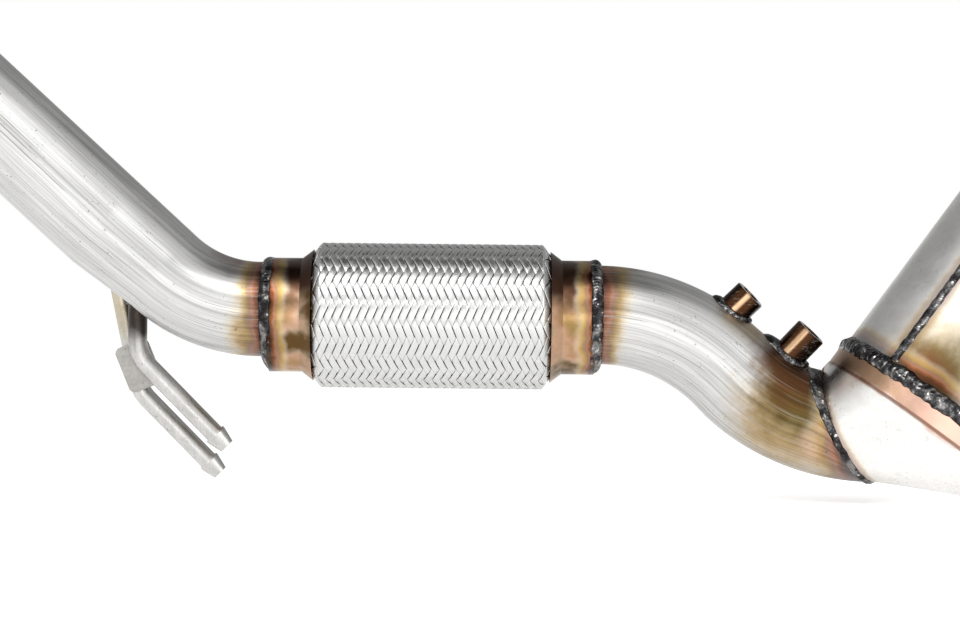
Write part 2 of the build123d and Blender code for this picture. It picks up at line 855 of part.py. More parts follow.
# Weld metal between the pipe and the rods
with BuildPart() as hanger_rod_weld:
    with BuildSketch(near_root):
        Circle(rod_radius + rod_weld_leg)
    extrude(amount=tube_radius + rod_weld_leg)
    add(front_outer, mode=Mode.SUBTRACT)
    add(near_rod_solid, mode=Mode.SUBTRACT)
save(hanger_rod_weld, "hanger_rod_weld")

back_weld_plane = Plane(
    moved(straight_line, z=far_rod_station).origin, x_dir=straight_line.x_dir, z_dir=straight_line.y_dir
)
with BuildPart() as hanger_back_weld:
    with BuildSketch(back_weld_plane):
        Circle(back_weld_diameter / 2)
    extrude(amount=far_rod_depth)
    add(front_outer, mode=Mode.SUBTRACT)
    add(far_rod_solid, mode=Mode.SUBTRACT)
save(hanger_back_weld, "hanger_back_weld")
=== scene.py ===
# %% [markdown]
# A diesel particulate filter with its down pipe, dressed for a studio picture. The solids come
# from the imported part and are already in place. This file gives them their metal, and makes the
# pieces whose look depends on fine shape: the drawn tubes, the woven braid and the weld beads.
# Each step says what the thing is on the real object, how it could be made, and why this way.

# %% Load the part
import math

import bmesh
import bpy
import numpy as np
from mathutils import Matrix, Vector, noise
from mathutils.bvhtree import BVHTree


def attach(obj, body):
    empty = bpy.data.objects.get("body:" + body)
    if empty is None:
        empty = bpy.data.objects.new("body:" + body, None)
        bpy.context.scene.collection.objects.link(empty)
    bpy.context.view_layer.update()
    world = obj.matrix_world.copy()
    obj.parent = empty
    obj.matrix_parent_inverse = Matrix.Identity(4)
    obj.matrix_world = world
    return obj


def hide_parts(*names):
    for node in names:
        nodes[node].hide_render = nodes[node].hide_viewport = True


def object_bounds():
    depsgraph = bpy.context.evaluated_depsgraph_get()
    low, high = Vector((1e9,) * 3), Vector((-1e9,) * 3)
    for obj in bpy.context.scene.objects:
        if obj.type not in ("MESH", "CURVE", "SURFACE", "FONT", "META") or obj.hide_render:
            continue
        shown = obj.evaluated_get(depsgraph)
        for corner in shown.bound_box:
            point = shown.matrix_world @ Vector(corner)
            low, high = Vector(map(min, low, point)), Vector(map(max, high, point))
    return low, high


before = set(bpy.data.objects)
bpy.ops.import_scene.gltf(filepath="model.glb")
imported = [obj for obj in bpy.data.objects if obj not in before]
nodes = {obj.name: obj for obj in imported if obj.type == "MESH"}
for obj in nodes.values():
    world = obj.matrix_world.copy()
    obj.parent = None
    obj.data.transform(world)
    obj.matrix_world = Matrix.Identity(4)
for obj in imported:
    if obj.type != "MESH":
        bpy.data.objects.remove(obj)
CAD_LOW, CAD_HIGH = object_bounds()
print(len(nodes), "solids, box", CAD_LOW, CAD_HIGH)

# %% [markdown]
# The centre line. Gas comes down the canister, turns out of the dome and leaves along the tubes.
# Tubes and tints follow that line, so it is worked out once as a chain of stations: a matrix whose
# z is the flow, whose x is square to it on the upper side, and whose y points away from the viewer.
# The sizes are millimetres, turned into metres as each station is made.

# %% Stations along the centre line
MM = 0.001
TILT = 54.0
CANISTER_RADIUS = 72.0
SHELL_START = 87.0
INLET_RIM = 99.0
RIM = 305.0
MOUTH_SIDE = 41.1
MOUTH_DEPTH = 40.8
MOUTH_TIP = 28.0
MOUTH_ROLL = -21.0
MOUTH_RADIUS = 34.75
OUTLET_TURN = 60.0
LIP = 2.0
BEND_RADIUS = 116.0
FLARE = 38.0
FIRST_BEND = 36.0
SECOND_BEND = 42.0
STRAIGHT = 14.8
LEAD = 3.0
REAR_OFFSET = 1.9
FLEX = 200.0
FRONT_OFFSET = 3.3
FRONT_LEAD = 6.4
FRONT_RADIUS = 88.2
FRONT_BEND = 42.3
FRONT_SHIFT = -2.5
ROUND_OFF = 45.0
FRONT_STRAIGHT = 182.0
SLIP = 60.0
TUBE_RADIUS = 31.75
SLIP_TAPER = 4.0
SLIP_RADIUS = 30.75
WALL = 1.5


def moved(station, x=0.0, y=0.0, z=0.0, turn=0.0):
    """Station shifted in its own directions, then turned about its own y."""
    shift = Matrix.Translation(Vector((x, y, z)) * MM)
    return station @ shift @ Matrix.Rotation(math.radians(turn), 4, "Y")


def bent(station, radius, angle):
    """Station at the far end of a bend: a positive angle bends to the upper side."""
    side = math.copysign(radius, angle)
    turn = math.radians(angle)
    return moved(station, x=side * (1 - math.cos(turn)), z=radius * math.sin(abs(turn)), turn=angle)


down = math.radians(TILT)
inlet = Matrix((
    (-math.sin(down), 0, -math.cos(down), 0),
    (0, 1, 0, 0),
    (math.cos(down), 0, -math.sin(down), 0),
    (0, 0, 0, 1),
))
rim_station = moved(inlet, z=RIM)
inlet_rim = moved(inlet, z=INLET_RIM)
mouth_centre = moved(rim_station, x=MOUTH_SIDE, z=MOUTH_DEPTH)
mouth = moved(mouth_centre, turn=MOUTH_TIP) @ Matrix.Rotation(math.radians(MOUTH_ROLL), 4, "X")
mid_start = moved(mouth_centre, turn=OUTLET_TURN)
bend_end = bent(mid_start, BEND_RADIUS, FIRST_BEND)
second_start = moved(bend_end, z=STRAIGHT)
lead_start = bent(second_start, BEND_RADIUS, -SECOND_BEND)
mid_end = moved(lead_start, z=LEAD)
flex_start = moved(mid_end, x=-REAR_OFFSET)
flex_centre = moved(flex_start, z=FLEX / 2)
flex_end = moved(flex_start, z=FLEX)
front_start = moved(flex_end, x=FRONT_OFFSET)
front_bend_start = moved(front_start, z=FRONT_LEAD)
front_bend_end = bent(front_bend_start, FRONT_RADIUS, FRONT_BEND)
front_straight = moved(front_bend_end, x=FRONT_SHIFT, z=ROUND_OFF)
print("flexible section centred on", flex_centre.translation)

# %% [markdown]
# Every piece that this file makes is a plain mesh whose object sits at the origin. Tubes and beads
# are both rows of points joined by quads. A few helpers make the object, join the rows, turn the
# faces outwards, tie the piece to the body it rides on and hide the solid that it stands for.

# %% Making pieces
def finished(obj, slot, *replaced):
    """Ties a new piece to the part: what it rides on and the solid it stands for. The slot for its finish is
    not used.
    """
    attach(obj, "root")
    if replaced:
        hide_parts(*replaced)
    return obj


def in_scene(name, data):
    """New object in the scene, from its mesh, lamp or camera."""
    obj = bpy.data.objects.new(name, data)
    bpy.context.scene.collection.objects.link(obj)
    return obj


def mesh_object(name, points, faces):
    """Plain object from points in metres, with smooth faces."""
    mesh = bpy.data.meshes.new(name)
    mesh.from_pydata([tuple(p) for p in points], [], faces)
    mesh.shade_smooth()
    mesh.update()
    return in_scene(name, mesh)


def quads(rows, across, closed=True):
    """Faces between rows of points, where each row is closed on itself."""
    faces = []
    for row in range(rows if closed else rows - 1):
        after = (row + 1) % rows
        for k in range(across):
            nxt = (k + 1) % across
            faces.append((row * across + k, row * across + nxt, after * across + nxt, after * across + k))
    return faces


def recalculate(obj):
    """Turns every face outwards."""
    work = bmesh.new()
    work.from_mesh(obj.data)
    bmesh.ops.recalc_face_normals(work, faces=work.faces)
    work.to_mesh(obj.data)
    work.free()
    obj.data.shade_smooth()


# %% [markdown]
# The drawn tubes. Real ones are bent from straight stainless tube, which leaves fine lines along
# them that turn with each bend. A curve with a bevel could give the shape, but not the flattening
# in the bends, nor lines that follow it. So each tube is swept: a ring of points at every
# station, and beside each point its place on the tube before it was bent, which is what the
# material reads. Grain laid out on that place runs along the tube and round every bend.

# %% Sweep a tube
AROUND = 112
TURNS = np.linspace(0, 2 * np.pi, AROUND, endpoint=False)


def ring(station, across, through, offset=0.0):
    """Points round an oval section, in metres, drawn in by an offset."""
    points = []
    for turn in TURNS:
        x = (across / 2 - offset) * math.cos(turn)
        y = (through / 2 - offset) * math.sin(turn)
        points.append(station @ (Vector((x, y, 0)) * MM))
    return np.array(points)


def rings(sections, offset=0.0):
    """Rings for a list of sections, each a station, across, through and distance along."""
    return [ring(station, across, through, offset) for station, across, through, _ in sections]


def tube(name, outer, inner, along, node):
    """Joins rings of points into a tube with a wall, and stores each point's unbent place."""
    faces = quads(len(outer + inner), AROUND)
    obj = mesh_object(name, np.concatenate(outer + inner[::-1]), faces)
    unbent = np.array([
        (TUBE_RADIUS * MM * math.cos(turn), TUBE_RADIUS * MM * math.sin(turn), distance * MM)
        for distance in along + along[::-1] for turn in TURNS
    ])
    places = obj.data.attributes.new("unbent", "FLOAT_VECTOR", "POINT")
    places.data.foreach_set("vector", unbent.astype(np.float32).ravel())
    recalculate(obj)
    print(name, len(faces), "faces")
    return finished(obj, "pipe_steel", node)


# %% [markdown]
# The front pipe comes out of the flexible section, bends once with its section pressed a little
# flat, and runs straight to its free end, where the last stretch is sized to slip into a sleeve.

# %% Front pipe
BEND_STEPS = 40
FRONT_ACROSS = 58.5
FRONT_THROUGH = 68.0


def bend_sections(start, radius, first, last, across, through, run):
    """Sections of a bend between two angles, where run is the distance along at angle zero."""
    sections = []
    for step in range(BEND_STEPS + 1):
        angle = first + (last - first) * step / BEND_STEPS
        distance = run + radius * math.radians(abs(angle))
        sections.append((bent(start, radius, angle), across, through, distance))
    return sections


front_sections = [(front_start, FRONT_ACROSS, FRONT_THROUGH, 0.0)]
front_sections += bend_sections(front_bend_start, FRONT_RADIUS, 0.0, FRONT_BEND, FRONT_ACROSS, FRONT_THROUGH,
                                FRONT_LEAD)
bend_run = front_sections[-1][3]
ROUND_STEPS = 12
for step in range(1, ROUND_STEPS + 1):
    share = step / ROUND_STEPS
    station = moved(front_bend_end, x=FRONT_SHIFT * share, z=ROUND_OFF * share)
    across = FRONT_ACROSS + (2 * TUBE_RADIUS - FRONT_ACROSS) * share
    through = FRONT_THROUGH + (2 * TUBE_RADIUS - FRONT_THROUGH) * share
    front_sections.append((station, across, through, bend_run + ROUND_OFF * share))
straight_run = front_sections[-1][3]
slip_start = FRONT_STRAIGHT + SLIP_TAPER
free_end = slip_start + SLIP
for distance, radius in (
    (0.5, TUBE_RADIUS), (FRONT_STRAIGHT / 2, TUBE_RADIUS), (FRONT_STRAIGHT, TUBE_RADIUS),
    (FRONT_STRAIGHT + SLIP_TAPER / 2, (TUBE_RADIUS + SLIP_RADIUS) / 2), (slip_start, SLIP_RADIUS),
    (free_end - 0.4, SLIP_RADIUS), (free_end, SLIP_RADIUS - 0.2),
):
    station = moved(front_straight, z=distance)
    front_sections.append((station, 2 * radius, 2 * radius, straight_run + distance))
front_along = [section[3] for section in front_sections]
front_pipe = tube("front_pipe_drawn", rings(front_sections), rings(front_sections, WALL), front_along,
                  "front_pipe")

# %% [markdown]
# The S-shaped pipe starts at the dome's slanted mouth, so its first rings lean with the mouth and
# straighten up over a short flare. Three leaning rings are joined point by point with a parabola,
# which gives the same smooth flare as the solid. The parabola bulges less on the upper side, where
# the flare is nearly straight. After it the pipe bends up, runs straight for a
# thumb's width and bends down to meet the flexible section.

# %% S-shaped pipe
MID_ACROSS = 62.5
MID_FLAT = 61.0
MID_END = 59.0
MID_THROUGH = 66.5
LEAN = 16.0
FLARE_ROWS = 18
flare_turn = math.degrees(FLARE / BEND_RADIUS)
half_way = moved(bent(mid_start, BEND_RADIUS, flare_turn / 2), turn=-LEAN)
flare_end = bent(mid_start, BEND_RADIUS, flare_turn)
leaning_across = MID_ACROSS / math.cos(math.radians(LEAN))


def flare_rows(offset):
    """Rings from the mouth to the end of the flare, through a leaning ring half way."""
    rows = [ring(mouth, 2 * MOUTH_RADIUS, 2 * MOUTH_RADIUS, offset)]
    first = ring(moved(mouth, z=LIP), 2 * MOUTH_RADIUS, 2 * MOUTH_RADIUS, offset)
    middle = ring(half_way, leaning_across, MID_THROUGH, offset)
    last = ring(flare_end, MID_ACROSS, MID_THROUGH, offset)
    follow = 0.7 - 0.3 * np.cos(TURNS)
    for step in range(FLARE_ROWS):
        s = step / FLARE_ROWS
        straight = first * (1 - s) + last * s
        bulge = middle - (first + last) / 2
        rows.append(straight + bulge * follow[:, None] * 4 * s * (1 - s))
    return rows


mid_sections = bend_sections(mid_start, BEND_RADIUS, flare_turn, FIRST_BEND, MID_ACROSS, MID_THROUGH, 0.0)
mid_run = mid_sections[-1][3] + STRAIGHT
mid_sections += bend_sections(second_start, BEND_RADIUS, 0.0, -SECOND_BEND, MID_FLAT, MID_THROUGH, mid_run)
mid_length = mid_sections[-1][3] + LEAD
mid_sections.append((mid_end, MID_END, MID_THROUGH, mid_length))
mid_along = [0.0] + [LIP + (FLARE - LIP) * step / FLARE_ROWS for step in range(FLARE_ROWS)]
mid_along += [section[3] for section in mid_sections]
mid_pipe = tube("mid_pipe_drawn", flare_rows(0.0) + rings(mid_sections),
                flare_rows(WALL) + rings(mid_sections, WALL), mid_along, "mid_pipe")

# %% [markdown]
# Trees of nodes are built in this script, both for shapes and for materials. A small class keeps
# that readable: it adds a node, sets it and wires its inputs in one call. What a node puts out takes
# part in sums as a number does, and each sign in a formula becomes one Math node.

# %% Node helper
class Value:
    """What a node puts out, for use in formulas."""

    def __init__(self, net, socket):
        self.net = net
        self.socket = socket

    def __add__(self, other):
        return self.net.maths("ADD", self, other)

    def __radd__(self, other):
        return self.net.maths("ADD", other, self)

    def __sub__(self, other):
        return self.net.maths("SUBTRACT", self, other)

    def __rsub__(self, other):
        return self.net.maths("SUBTRACT", other, self)

    def __mul__(self, other):
        return self.net.maths("MULTIPLY", self, other)

    def __truediv__(self, other):
        return self.net.maths("DIVIDE", self, other)

    def __abs__(self):
        return self.net.maths("ABSOLUTE", self)


class Net:
    """Builds a node tree, where a value is either a number or what another node puts out."""

    def __init__(self, tree):
        self.tree = tree

    def add(self, kind, inputs=None, **settings):
        node = self.tree.nodes.new(kind)
        for name, value in settings.items():
            setattr(node, name, value)
        for key, value in (inputs or {}).items():
            self.feed(node.inputs[key], value)
        return node

    def feed(self, socket, value):
        value = value.socket if isinstance(value, Value) else value
        if isinstance(value, bpy.types.NodeSocket):
            self.tree.links.new(value, socket)
        else:
            socket.default_value = value

    def value(self, kind, inputs=None, output=0, **settings):
        """Adds a node and gives one of its outputs."""
        return Value(self, self.add(kind, inputs, **settings).outputs[output])

    def outputs(self, node):
        """All outputs of a node, by name."""
        return {socket.name: Value(self, socket) for socket in node.outputs}

    def maths(self, operation, *values):
        """One step of arithmetic."""
        return self.value("ShaderNodeMath", dict(enumerate(values)), operation=operation)

    def vector(self, operation, *values):
        """One step of vector arithmetic, whose answer may be a vector or a number."""
        output = "Value" if operation in ("DISTANCE", "DOT_PRODUCT") else 0
        return self.value("ShaderNodeVectorMath", dict(enumerate(values)), output, operation=operation)

    def between(self, value, low, high, out_low=0.0, out_high=1.0):
        """Smooth step of a value from one range to another."""
        inputs = {"Value": value, "From Min": low, "From Max": high, "To Min": out_low, "To Max": out_high}
        return self.value("ShaderNodeMapRange", inputs, interpolation_type="SMOOTHSTEP")

    def combined(self, x, y, z):
        return self.value("ShaderNodeCombineXYZ", {0: x, 1: y, 2: z})

    def parts(self, vector):
        return list(self.outputs(self.add("ShaderNodeSeparateXYZ", {0: vector})).values())

    def noise(self, place, scale, detail=3.0, roughness=0.55):
        inputs = {"Vector": place, "Scale": scale, "Detail": detail, "Roughness": roughness}
        return self.value("ShaderNodeTexNoise", inputs, "Fac")


def emptied(owner):
    """Tree of a material or a world, with no nodes in it."""
    owner.use_nodes = True
    owner.node_tree.nodes.clear()
    return owner.node_tree


KINDS = {int: "NodeSocketInt", float: "NodeSocketFloat", tuple: "NodeSocketVector"}


def named_inputs(tree, first_values):
    """Adds named inputs to a tree. The first value of each also tells its kind."""
    for name, value in first_values.items():
        kind = KINDS.get(type(value), "NodeSocketMaterial")
        socket = tree.interface.new_socket(name, in_out="INPUT", socket_type=kind)
        if value is not None:
            socket.default_value = value


# %% [markdown]
# The braid is a sleeve of flat wire ribbons that keeps the bellows from stretching. Two families of
# ribbons wind round it in opposite ways, and each ribbon passes over two of the others and then
# under two, which is what draws the rows of slanted floats along the sleeve. A bump picture of a
# weave would look flat at the edges, so the ribbons are real. Their shape is one rule: the way round
# and along grow together, and the height rises and falls with the way round. Geometry Nodes carry
# that rule. A flat grid is one ribbon, a line of points gives one ribbon each, and Set Position
# bends them all. Each ribbon is a closed band with one ridge per wire on its upper face.

# %% Braid ribbons
STRANDS = 24
BRAID_LEAD = 120.0
BRAID_TURN = -9.0
BRAID_LENGTH = 151.0
RIBBON_SAMPLES = 220
WIRES = 6
CROWN = 0.35
STEEPNESS = 2.2
END_TAPER = 200


def braid_tree():
    """Tree that makes one family of ribbons along z, in metres."""
    tree = bpy.data.node_groups.new("braid ribbons", "GeometryNodeTree")
    tree.interface.new_socket("Geometry", in_out="OUTPUT", socket_type="NodeSocketGeometry")
    named_inputs(tree, {
        "Strands": STRANDS, "Samples": RIBBON_SAMPLES, "Wires": WIRES, "Hand": 1.0,
        "Lead": BRAID_LEAD * MM, "Length": BRAID_LENGTH * MM, "Body radius": 0.0437, "End radius": 0.0355,
        "Shoulder": 0.0085, "Ribbon width": 0.0045, "Lift": 0.00052, "Wire height": 0.00006,
        "Thickness": 0.0005, "Material": None,
    })
    net = Net(tree)
    given = net.outputs(net.add("NodeGroupInput"))
    section = given["Wires"] * 2 + 3
    grid = net.value("GeometryNodeMeshGrid", {
        "Size X": 1.0, "Size Y": 1.0, "Vertices X": given["Samples"], "Vertices Y": section})
    line = net.value("GeometryNodeMeshLine", {"Count": given["Strands"], "Offset": (0, 0, 0)})
    index = net.value("GeometryNodeInputIndex")
    numbered = net.value("GeometryNodeStoreNamedAttribute", {
        "Geometry": line, "Name": "strand", "Value": index}, data_type="FLOAT")
    placed = net.value("GeometryNodeInstanceOnPoints", {"Points": numbered, "Instance": grid})
    real = net.value("GeometryNodeRealizeInstances", {0: placed})
    here = net.parts(net.value("GeometryNodeInputPosition"))
    way = here[0] + 0.5
    round_section = here[1] + 0.5
    strand = net.value("GeometryNodeInputNamedAttribute", {"Name": "strand"}, data_type="FLOAT")

    # the upper face takes all but two steps of the way round the section
    steps = given["Wires"] * 2 + 2
    top_share = given["Wires"] * 2 / steps
    on_top = net.maths("MINIMUM", round_section / top_share, 1.0)
    under = net.maths("MAXIMUM", (round_section - top_share) / (1.0 - top_share), 0.0)
    across = (on_top - under) * 2 - 1.0
    is_top = net.maths("LESS_THAN", under, 0.001)
    ridge = abs(net.maths("SINE", on_top * given["Wires"] * math.pi)) * given["Wire height"]
    inside = net.maths("MAXIMUM", 1.0 - across * across, 0.0)
    body = net.maths("POWER", inside, CROWN) * given["Thickness"]
    upper = (ridge + body) * is_top
    from_end = net.maths("MINIMUM", way, 1.0 - way)
    thin = net.maths("MINIMUM", from_end * END_TAPER, 1.0)

    # the ribbon's line, and the small step across it
    turn = given["Length"] * math.tau / given["Lead"]
    slope = net.maths("ARCTAN2", given["Body radius"] * math.tau, given["Lead"])
    aside = across * (given["Ribbon width"] * 0.5 * thin)
    base_turn = strand * math.tau / given["Strands"]
    line_turn = base_turn + turn * way * given["Hand"]
    side_turn = aside * net.maths("COSINE", slope) / given["Body radius"]
    angle = line_turn - side_turn * given["Hand"]
    height = (way - 0.5) * given["Length"] + aside * net.maths("SINE", slope)

    # over two, under two: a ribbon counts the others by where it crosses them, and the two
    # families read the same wave with opposite signs
    own = base_turn + turn * 0.5 * given["Hand"]
    climb = height * math.tau / given["Lead"]
    other = angle + climb * given["Hand"]
    phase = (own + other) * (given["Strands"] * 0.25) + math.pi / 4
    steep = net.maths("COSINE", phase) * STEEPNESS
    weave = net.maths("MAXIMUM", net.maths("MINIMUM", steep, 1.0), -1.0)
    lift = weave * given["Hand"] * given["Lift"]
    to_end = given["Length"] * 0.5 - abs(height)
    rise = net.between(to_end, 0.0, given["Shoulder"])
    sleeve = given["End radius"] + rise * (given["Body radius"] - given["End radius"])
    radius = sleeve + lift + upper * thin
    place = net.combined(radius * net.maths("COSINE", angle), radius * net.maths("SINE", angle), height)
    ribbon_place = net.combined(across * 0.5, weave * given["Hand"], way * turn)
    marked = net.value("GeometryNodeStoreNamedAttribute", {
        "Geometry": real, "Name": "ribbon", "Value": ribbon_place}, data_type="FLOAT_VECTOR")
    bent_grid = net.value("GeometryNodeSetPosition", {"Geometry": marked, "Position": place})
    closed = net.value("GeometryNodeMergeByDistance", {"Geometry": bent_grid, "Distance": 1e-6})
    smooth = net.value("GeometryNodeSetShadeSmooth", {"Geometry": closed})
    coated = net.value("GeometryNodeSetMaterial", {"Geometry": smooth, "Material": given["Material"]})
    net.add("NodeGroupOutput", {0: net.value("GeometryNodeRealizeInstances", {0: coated})})
    return tree


def grown(name, tree, values, station):
    """Runs a tree on an empty mesh and returns a plain mesh object placed at a station."""
    seed_object = in_scene(name, bpy.data.meshes.new(name))
    modifier = seed_object.modifiers.new("shape", "NODES")
    modifier.node_group = tree
    for item in tree.interface.items_tree:
        if item.item_type == "SOCKET" and item.in_out == "INPUT" and item.name in values:
            modifier[item.identifier] = values[item.name]
    graph = bpy.context.evaluated_depsgraph_get()
    mesh = bpy.data.meshes.new_from_object(seed_object.evaluated_get(graph))
    seed_object.modifiers.clear()
    mesh.transform(station)
    seed_object.data = mesh
    print(name, len(mesh.polygons), "faces")
    return seed_object


braid_material = bpy.data.materials.new("braid_wire")
ribbons = braid_tree()
for hand, name in ((1.0, "braid_ribbons_right"), (-1.0, "braid_ribbons_left")):
    turned_sleeve = flex_centre @ Matrix.Rotation(math.radians(BRAID_TURN), 4, "Z")
    family = grown(name, ribbons, {"Hand": hand, "Material": braid_material}, turned_sleeve)
    recalculate(family)
    finished(family, "braid_wire", "flex_braid")

# %% [markdown]
# Weld beads. A bead is laid as a row of small overlapping pools, so its skin has curved ripples, with
# lumps where the hand slowed down. A bump map can't give that at the outline, so the beads are real
# shape. Each one bridges two pieces, and its two feet are found by casting rays at them, which keeps
# the bead on the metal all the way round. Between the feet the skin bulges, and ripples and lumps are
# added along the way out. The solid of each bead has the same place and is replaced by it.

# %% Laying a bead
ACROSS_BEAD = 15
WANDER_SCALE = 160.0
ROUGH_SCALE = 230.0
FINE_SCALE = 600.0
EDGE_SCALE = 240.0


def target(*objects):
    """Search tree over the faces of several pieces."""
    points, faces = [], []
    for obj in objects:
        start = len(points)
        points.extend(v.co.copy() for v in obj.data.vertices)
        faces.extend([start + k for k in f.vertices] for f in obj.data.polygons)
    return BVHTree.FromPolygons(points, faces)


def spoke(turn):
    """Direction square to z, at an angle round it."""
    return Vector((math.cos(turn), math.sin(turn), 0))


def smoothed(values, passes):
    """Evens out a closed row of points."""
    values = np.array(values)
    for _ in range(passes):
        values = (np.roll(values, 1, axis=0) + 2 * values + np.roll(values, -1, axis=0)) / 4
    return values


def laid_bead(name, node, foot, rim, out, bulge, pitch, ripple, lump, closed=True):
    """Bead between two rows of points: a bulging skin with pools and lumps, and a flat underside."""
    count = len(foot)
    middle = (foot + rim) / 2
    steps = np.linalg.norm(np.diff(middle, axis=0, append=middle[:1]), axis=1)
    travel = np.concatenate([[0.0], np.cumsum(steps)[:-1]])
    points = []
    for k in range(count):
        for j in range(ACROSS_BEAD):
            share = j / (ACROSS_BEAD - 1)
            base = foot[k] * (1 - share) + rim[k] * share
            arch = math.sin(math.pi * share)
            seed = Vector(base)
            wander = noise.noise(seed * WANDER_SCALE) * 0.9
            pool = travel[k] / (pitch * MM) + 0.55 * (2 * share - 1) ** 2 + wander * 0.5
            wave = 1.0 - (pool % 1.0) ** 1.6
            rough = noise.noise(seed * ROUGH_SCALE) + 0.3 * noise.noise(seed * FINE_SCALE)
            height = bulge * arch ** 0.75 + arch * (ripple * (wave - 0.5) + lump * rough)
            spread = (rim[k] - foot[k]) * 0.10 * noise.noise(seed * EDGE_SCALE) * (2 * share - 1)
            points.append(base + spread + out[k] * height * MM)
        points.append(middle[k] - out[k] * 0.35 * bulge * MM)
    row = ACROSS_BEAD + 1
    faces = quads(count, row, closed)
    if not closed:
        faces.append(tuple(range(row)))
        faces.append(tuple((count - 1) * row + j for j in reversed(range(row))))
    obj = mesh_object(name, points, faces)
    recalculate(obj)
    print(name, len(faces), "faces")
    return finished(obj, "weld_steel", node)


BEAD_CELL = 0.55
RAY_START = 30.0


def ring_bead(node, station, heights, pieces, reach, bulge, pitch=2.2, ripple=0.45, lump=0.5, wobble=0.35):
    """Bead round the z of a station, between two heights, whose feet lie on the pieces."""
    metal = target(*pieces)
    count = int(2 * math.pi * reach / BEAD_CELL)
    feet = [[], []]
    away = []
    for k in range(count):
        turn = 2 * math.pi * k / count
        across = station.to_3x3() @ spoke(turn)
        away.append(across)
        for side, height in enumerate(heights):
            shake = wobble * noise.noise(spoke(turn) * 6 + Vector((0, 0, side * 9)))
            start = moved(station, z=height + shake).translation + across * (reach + RAY_START) * MM
            hit = metal.ray_cast(start, -across)[0] or start - across * RAY_START * MM
            feet[side].append(hit)
    foot, rim = smoothed(feet[0], 3), smoothed(feet[1], 3)
    chord = rim - foot
    chord /= np.linalg.norm(chord, axis=1)[:, None]
    out = np.array(away)
    out = out - chord * np.sum(out * chord, axis=1)[:, None]
    out /= np.linalg.norm(out, axis=1)[:, None]
    return laid_bead(node + "_laid", node, foot, rim, out, bulge, pitch, ripple, lump)


beads = [
    ring_bead("rear_girth_weld", flex_start, (-4.6, 2.6), (mid_pipe, nodes["flex_rear_collar"]), 36.0, 1.7),
    ring_bead("front_girth_weld", moved(flex_end, turn=180), (-4.6, 2.2),
              (front_pipe, nodes["flex_front_collar"]), 36.0, 1.5, ripple=0.3, lump=0.35),
    ring_bead("outlet_girth_weld", rim_station, (-6.6, 3.6), (nodes["outlet_dome"], nodes["canister_shell"]),
              75.0, 2.0, pitch=4.2, ripple=0.55, lump=0.9, wobble=1.2),
    ring_bead("inlet_girth_weld", moved(inlet_rim, turn=180), (-6.6, 3.6),
              (nodes["inlet_cone"], nodes["canister_shell"]), 75.0, 2.0,
              pitch=3.6, ripple=0.8, lump=0.8, wobble=1.0),
    ring_bead("outlet_weld", mouth, (-2.6, 1.9), (mid_pipe, nodes["outlet_dome"]), 36.0, 1.3,
              ripple=0.3, lump=0.4),
    ring_bead("flange_weld", inlet, (12.4, 17.4), (nodes["inlet_flange"], nodes["inlet_cone"]), 40.0, 1.6),
]

# %% [markdown]
# The beads round the sensor bosses lie in the corner between a cylinder and a bent tube. A ring of
# rays, cast along the boss's axis, finds the tube's skin: once close to the boss for the upper foot,
# and once further out for the lower one. On the tall boss the hand stayed longer on one side, so the
# bead spreads there.

# %% Boss beads
BOSS_RADIUS = 10.25
BOSS_ROLL = -10.0
BOSS_POINTS = 150
SPREAD_TURN = 38.0
RAY_HEIGHT = 90.0


def station_of(x, y, z, place):
    """Station from three directions and a place."""
    station = Matrix((x, y, z)).transposed().to_4x4()
    station.translation = place
    return station


def boss_station(place, lean):
    """Station on the centre line whose z is the boss's axis."""
    spin = (moved(place, turn=lean) @ Matrix.Rotation(math.radians(BOSS_ROLL), 4, "Z")).to_3x3()
    x, z = spin.col[0], spin.col[2]
    return station_of(z, x.cross(z), x, place.translation)


def boss_bead(node, station, metal, leg, extra, surface):
    """Bead round a boss, its feet on the tube and on the boss, with extra width on its x side."""
    spin = station.to_3x3()
    foot, rim, out = [], [], []
    for k in range(BOSS_POINTS):
        turn = 2 * math.pi * k / BOSS_POINTS
        away = math.degrees(math.atan2(math.sin(turn), math.cos(turn)))
        spread = extra * math.exp(-((away / SPREAD_TURN) ** 2))
        width = leg + spread + 0.5 * noise.noise(Vector((k * 0.21, 3.0, 0)))
        across = spoke(turn)
        points = []
        for radius in (BOSS_RADIUS + width, BOSS_RADIUS - 0.2):
            start = station @ ((across * radius + Vector((0, 0, RAY_HEIGHT))) * MM)
            hit = metal.ray_cast(start, -(spin @ Vector((0, 0, 1))))[0]
            local = station.inverted() @ hit if hit else (across * radius + Vector((0, 0, surface))) * MM
            points.append(local)
        points[1].z += (leg * 0.8 + 0.12 * spread) * MM
        foot.append(station @ points[0])
        rim.append(station @ points[1])
        out.append((spin @ (across * 0.75 + Vector((0, 0, 0.66)))).normalized())
    return laid_bead(node + "_laid", node, smoothed(foot, 2), smoothed(rim, 2), np.array(out),
                     0.9, 1.8, 0.4, 0.45)


tall_station = boss_station(bent(mid_start, BEND_RADIUS, 31.0), 5.6)
short_station = boss_station(bent(second_start, BEND_RADIUS, -10.0), 13.4)
upstream = moved(inlet, z=SHELL_START + 38.0)
spin = upstream.to_3x3()
inlet_boss = station_of(spin.col[2], spin.col[1], spin.col[0], upstream.translation)
tube_skin = target(mid_pipe)
beads += [
    boss_bead("tall_boss_weld", tall_station, tube_skin, 3.2, 7.0, 33.0),
    boss_bead("short_boss_weld", short_station, tube_skin, 2.7, 2.6, 33.0),
    boss_bead("inlet_boss_weld", inlet_boss, target(nodes["canister_shell"]), 3.4, 0.0, 72.0),
]

# %% [markdown]
# The long seam of the canister is a straight bead, low and even, because a machine laid it.

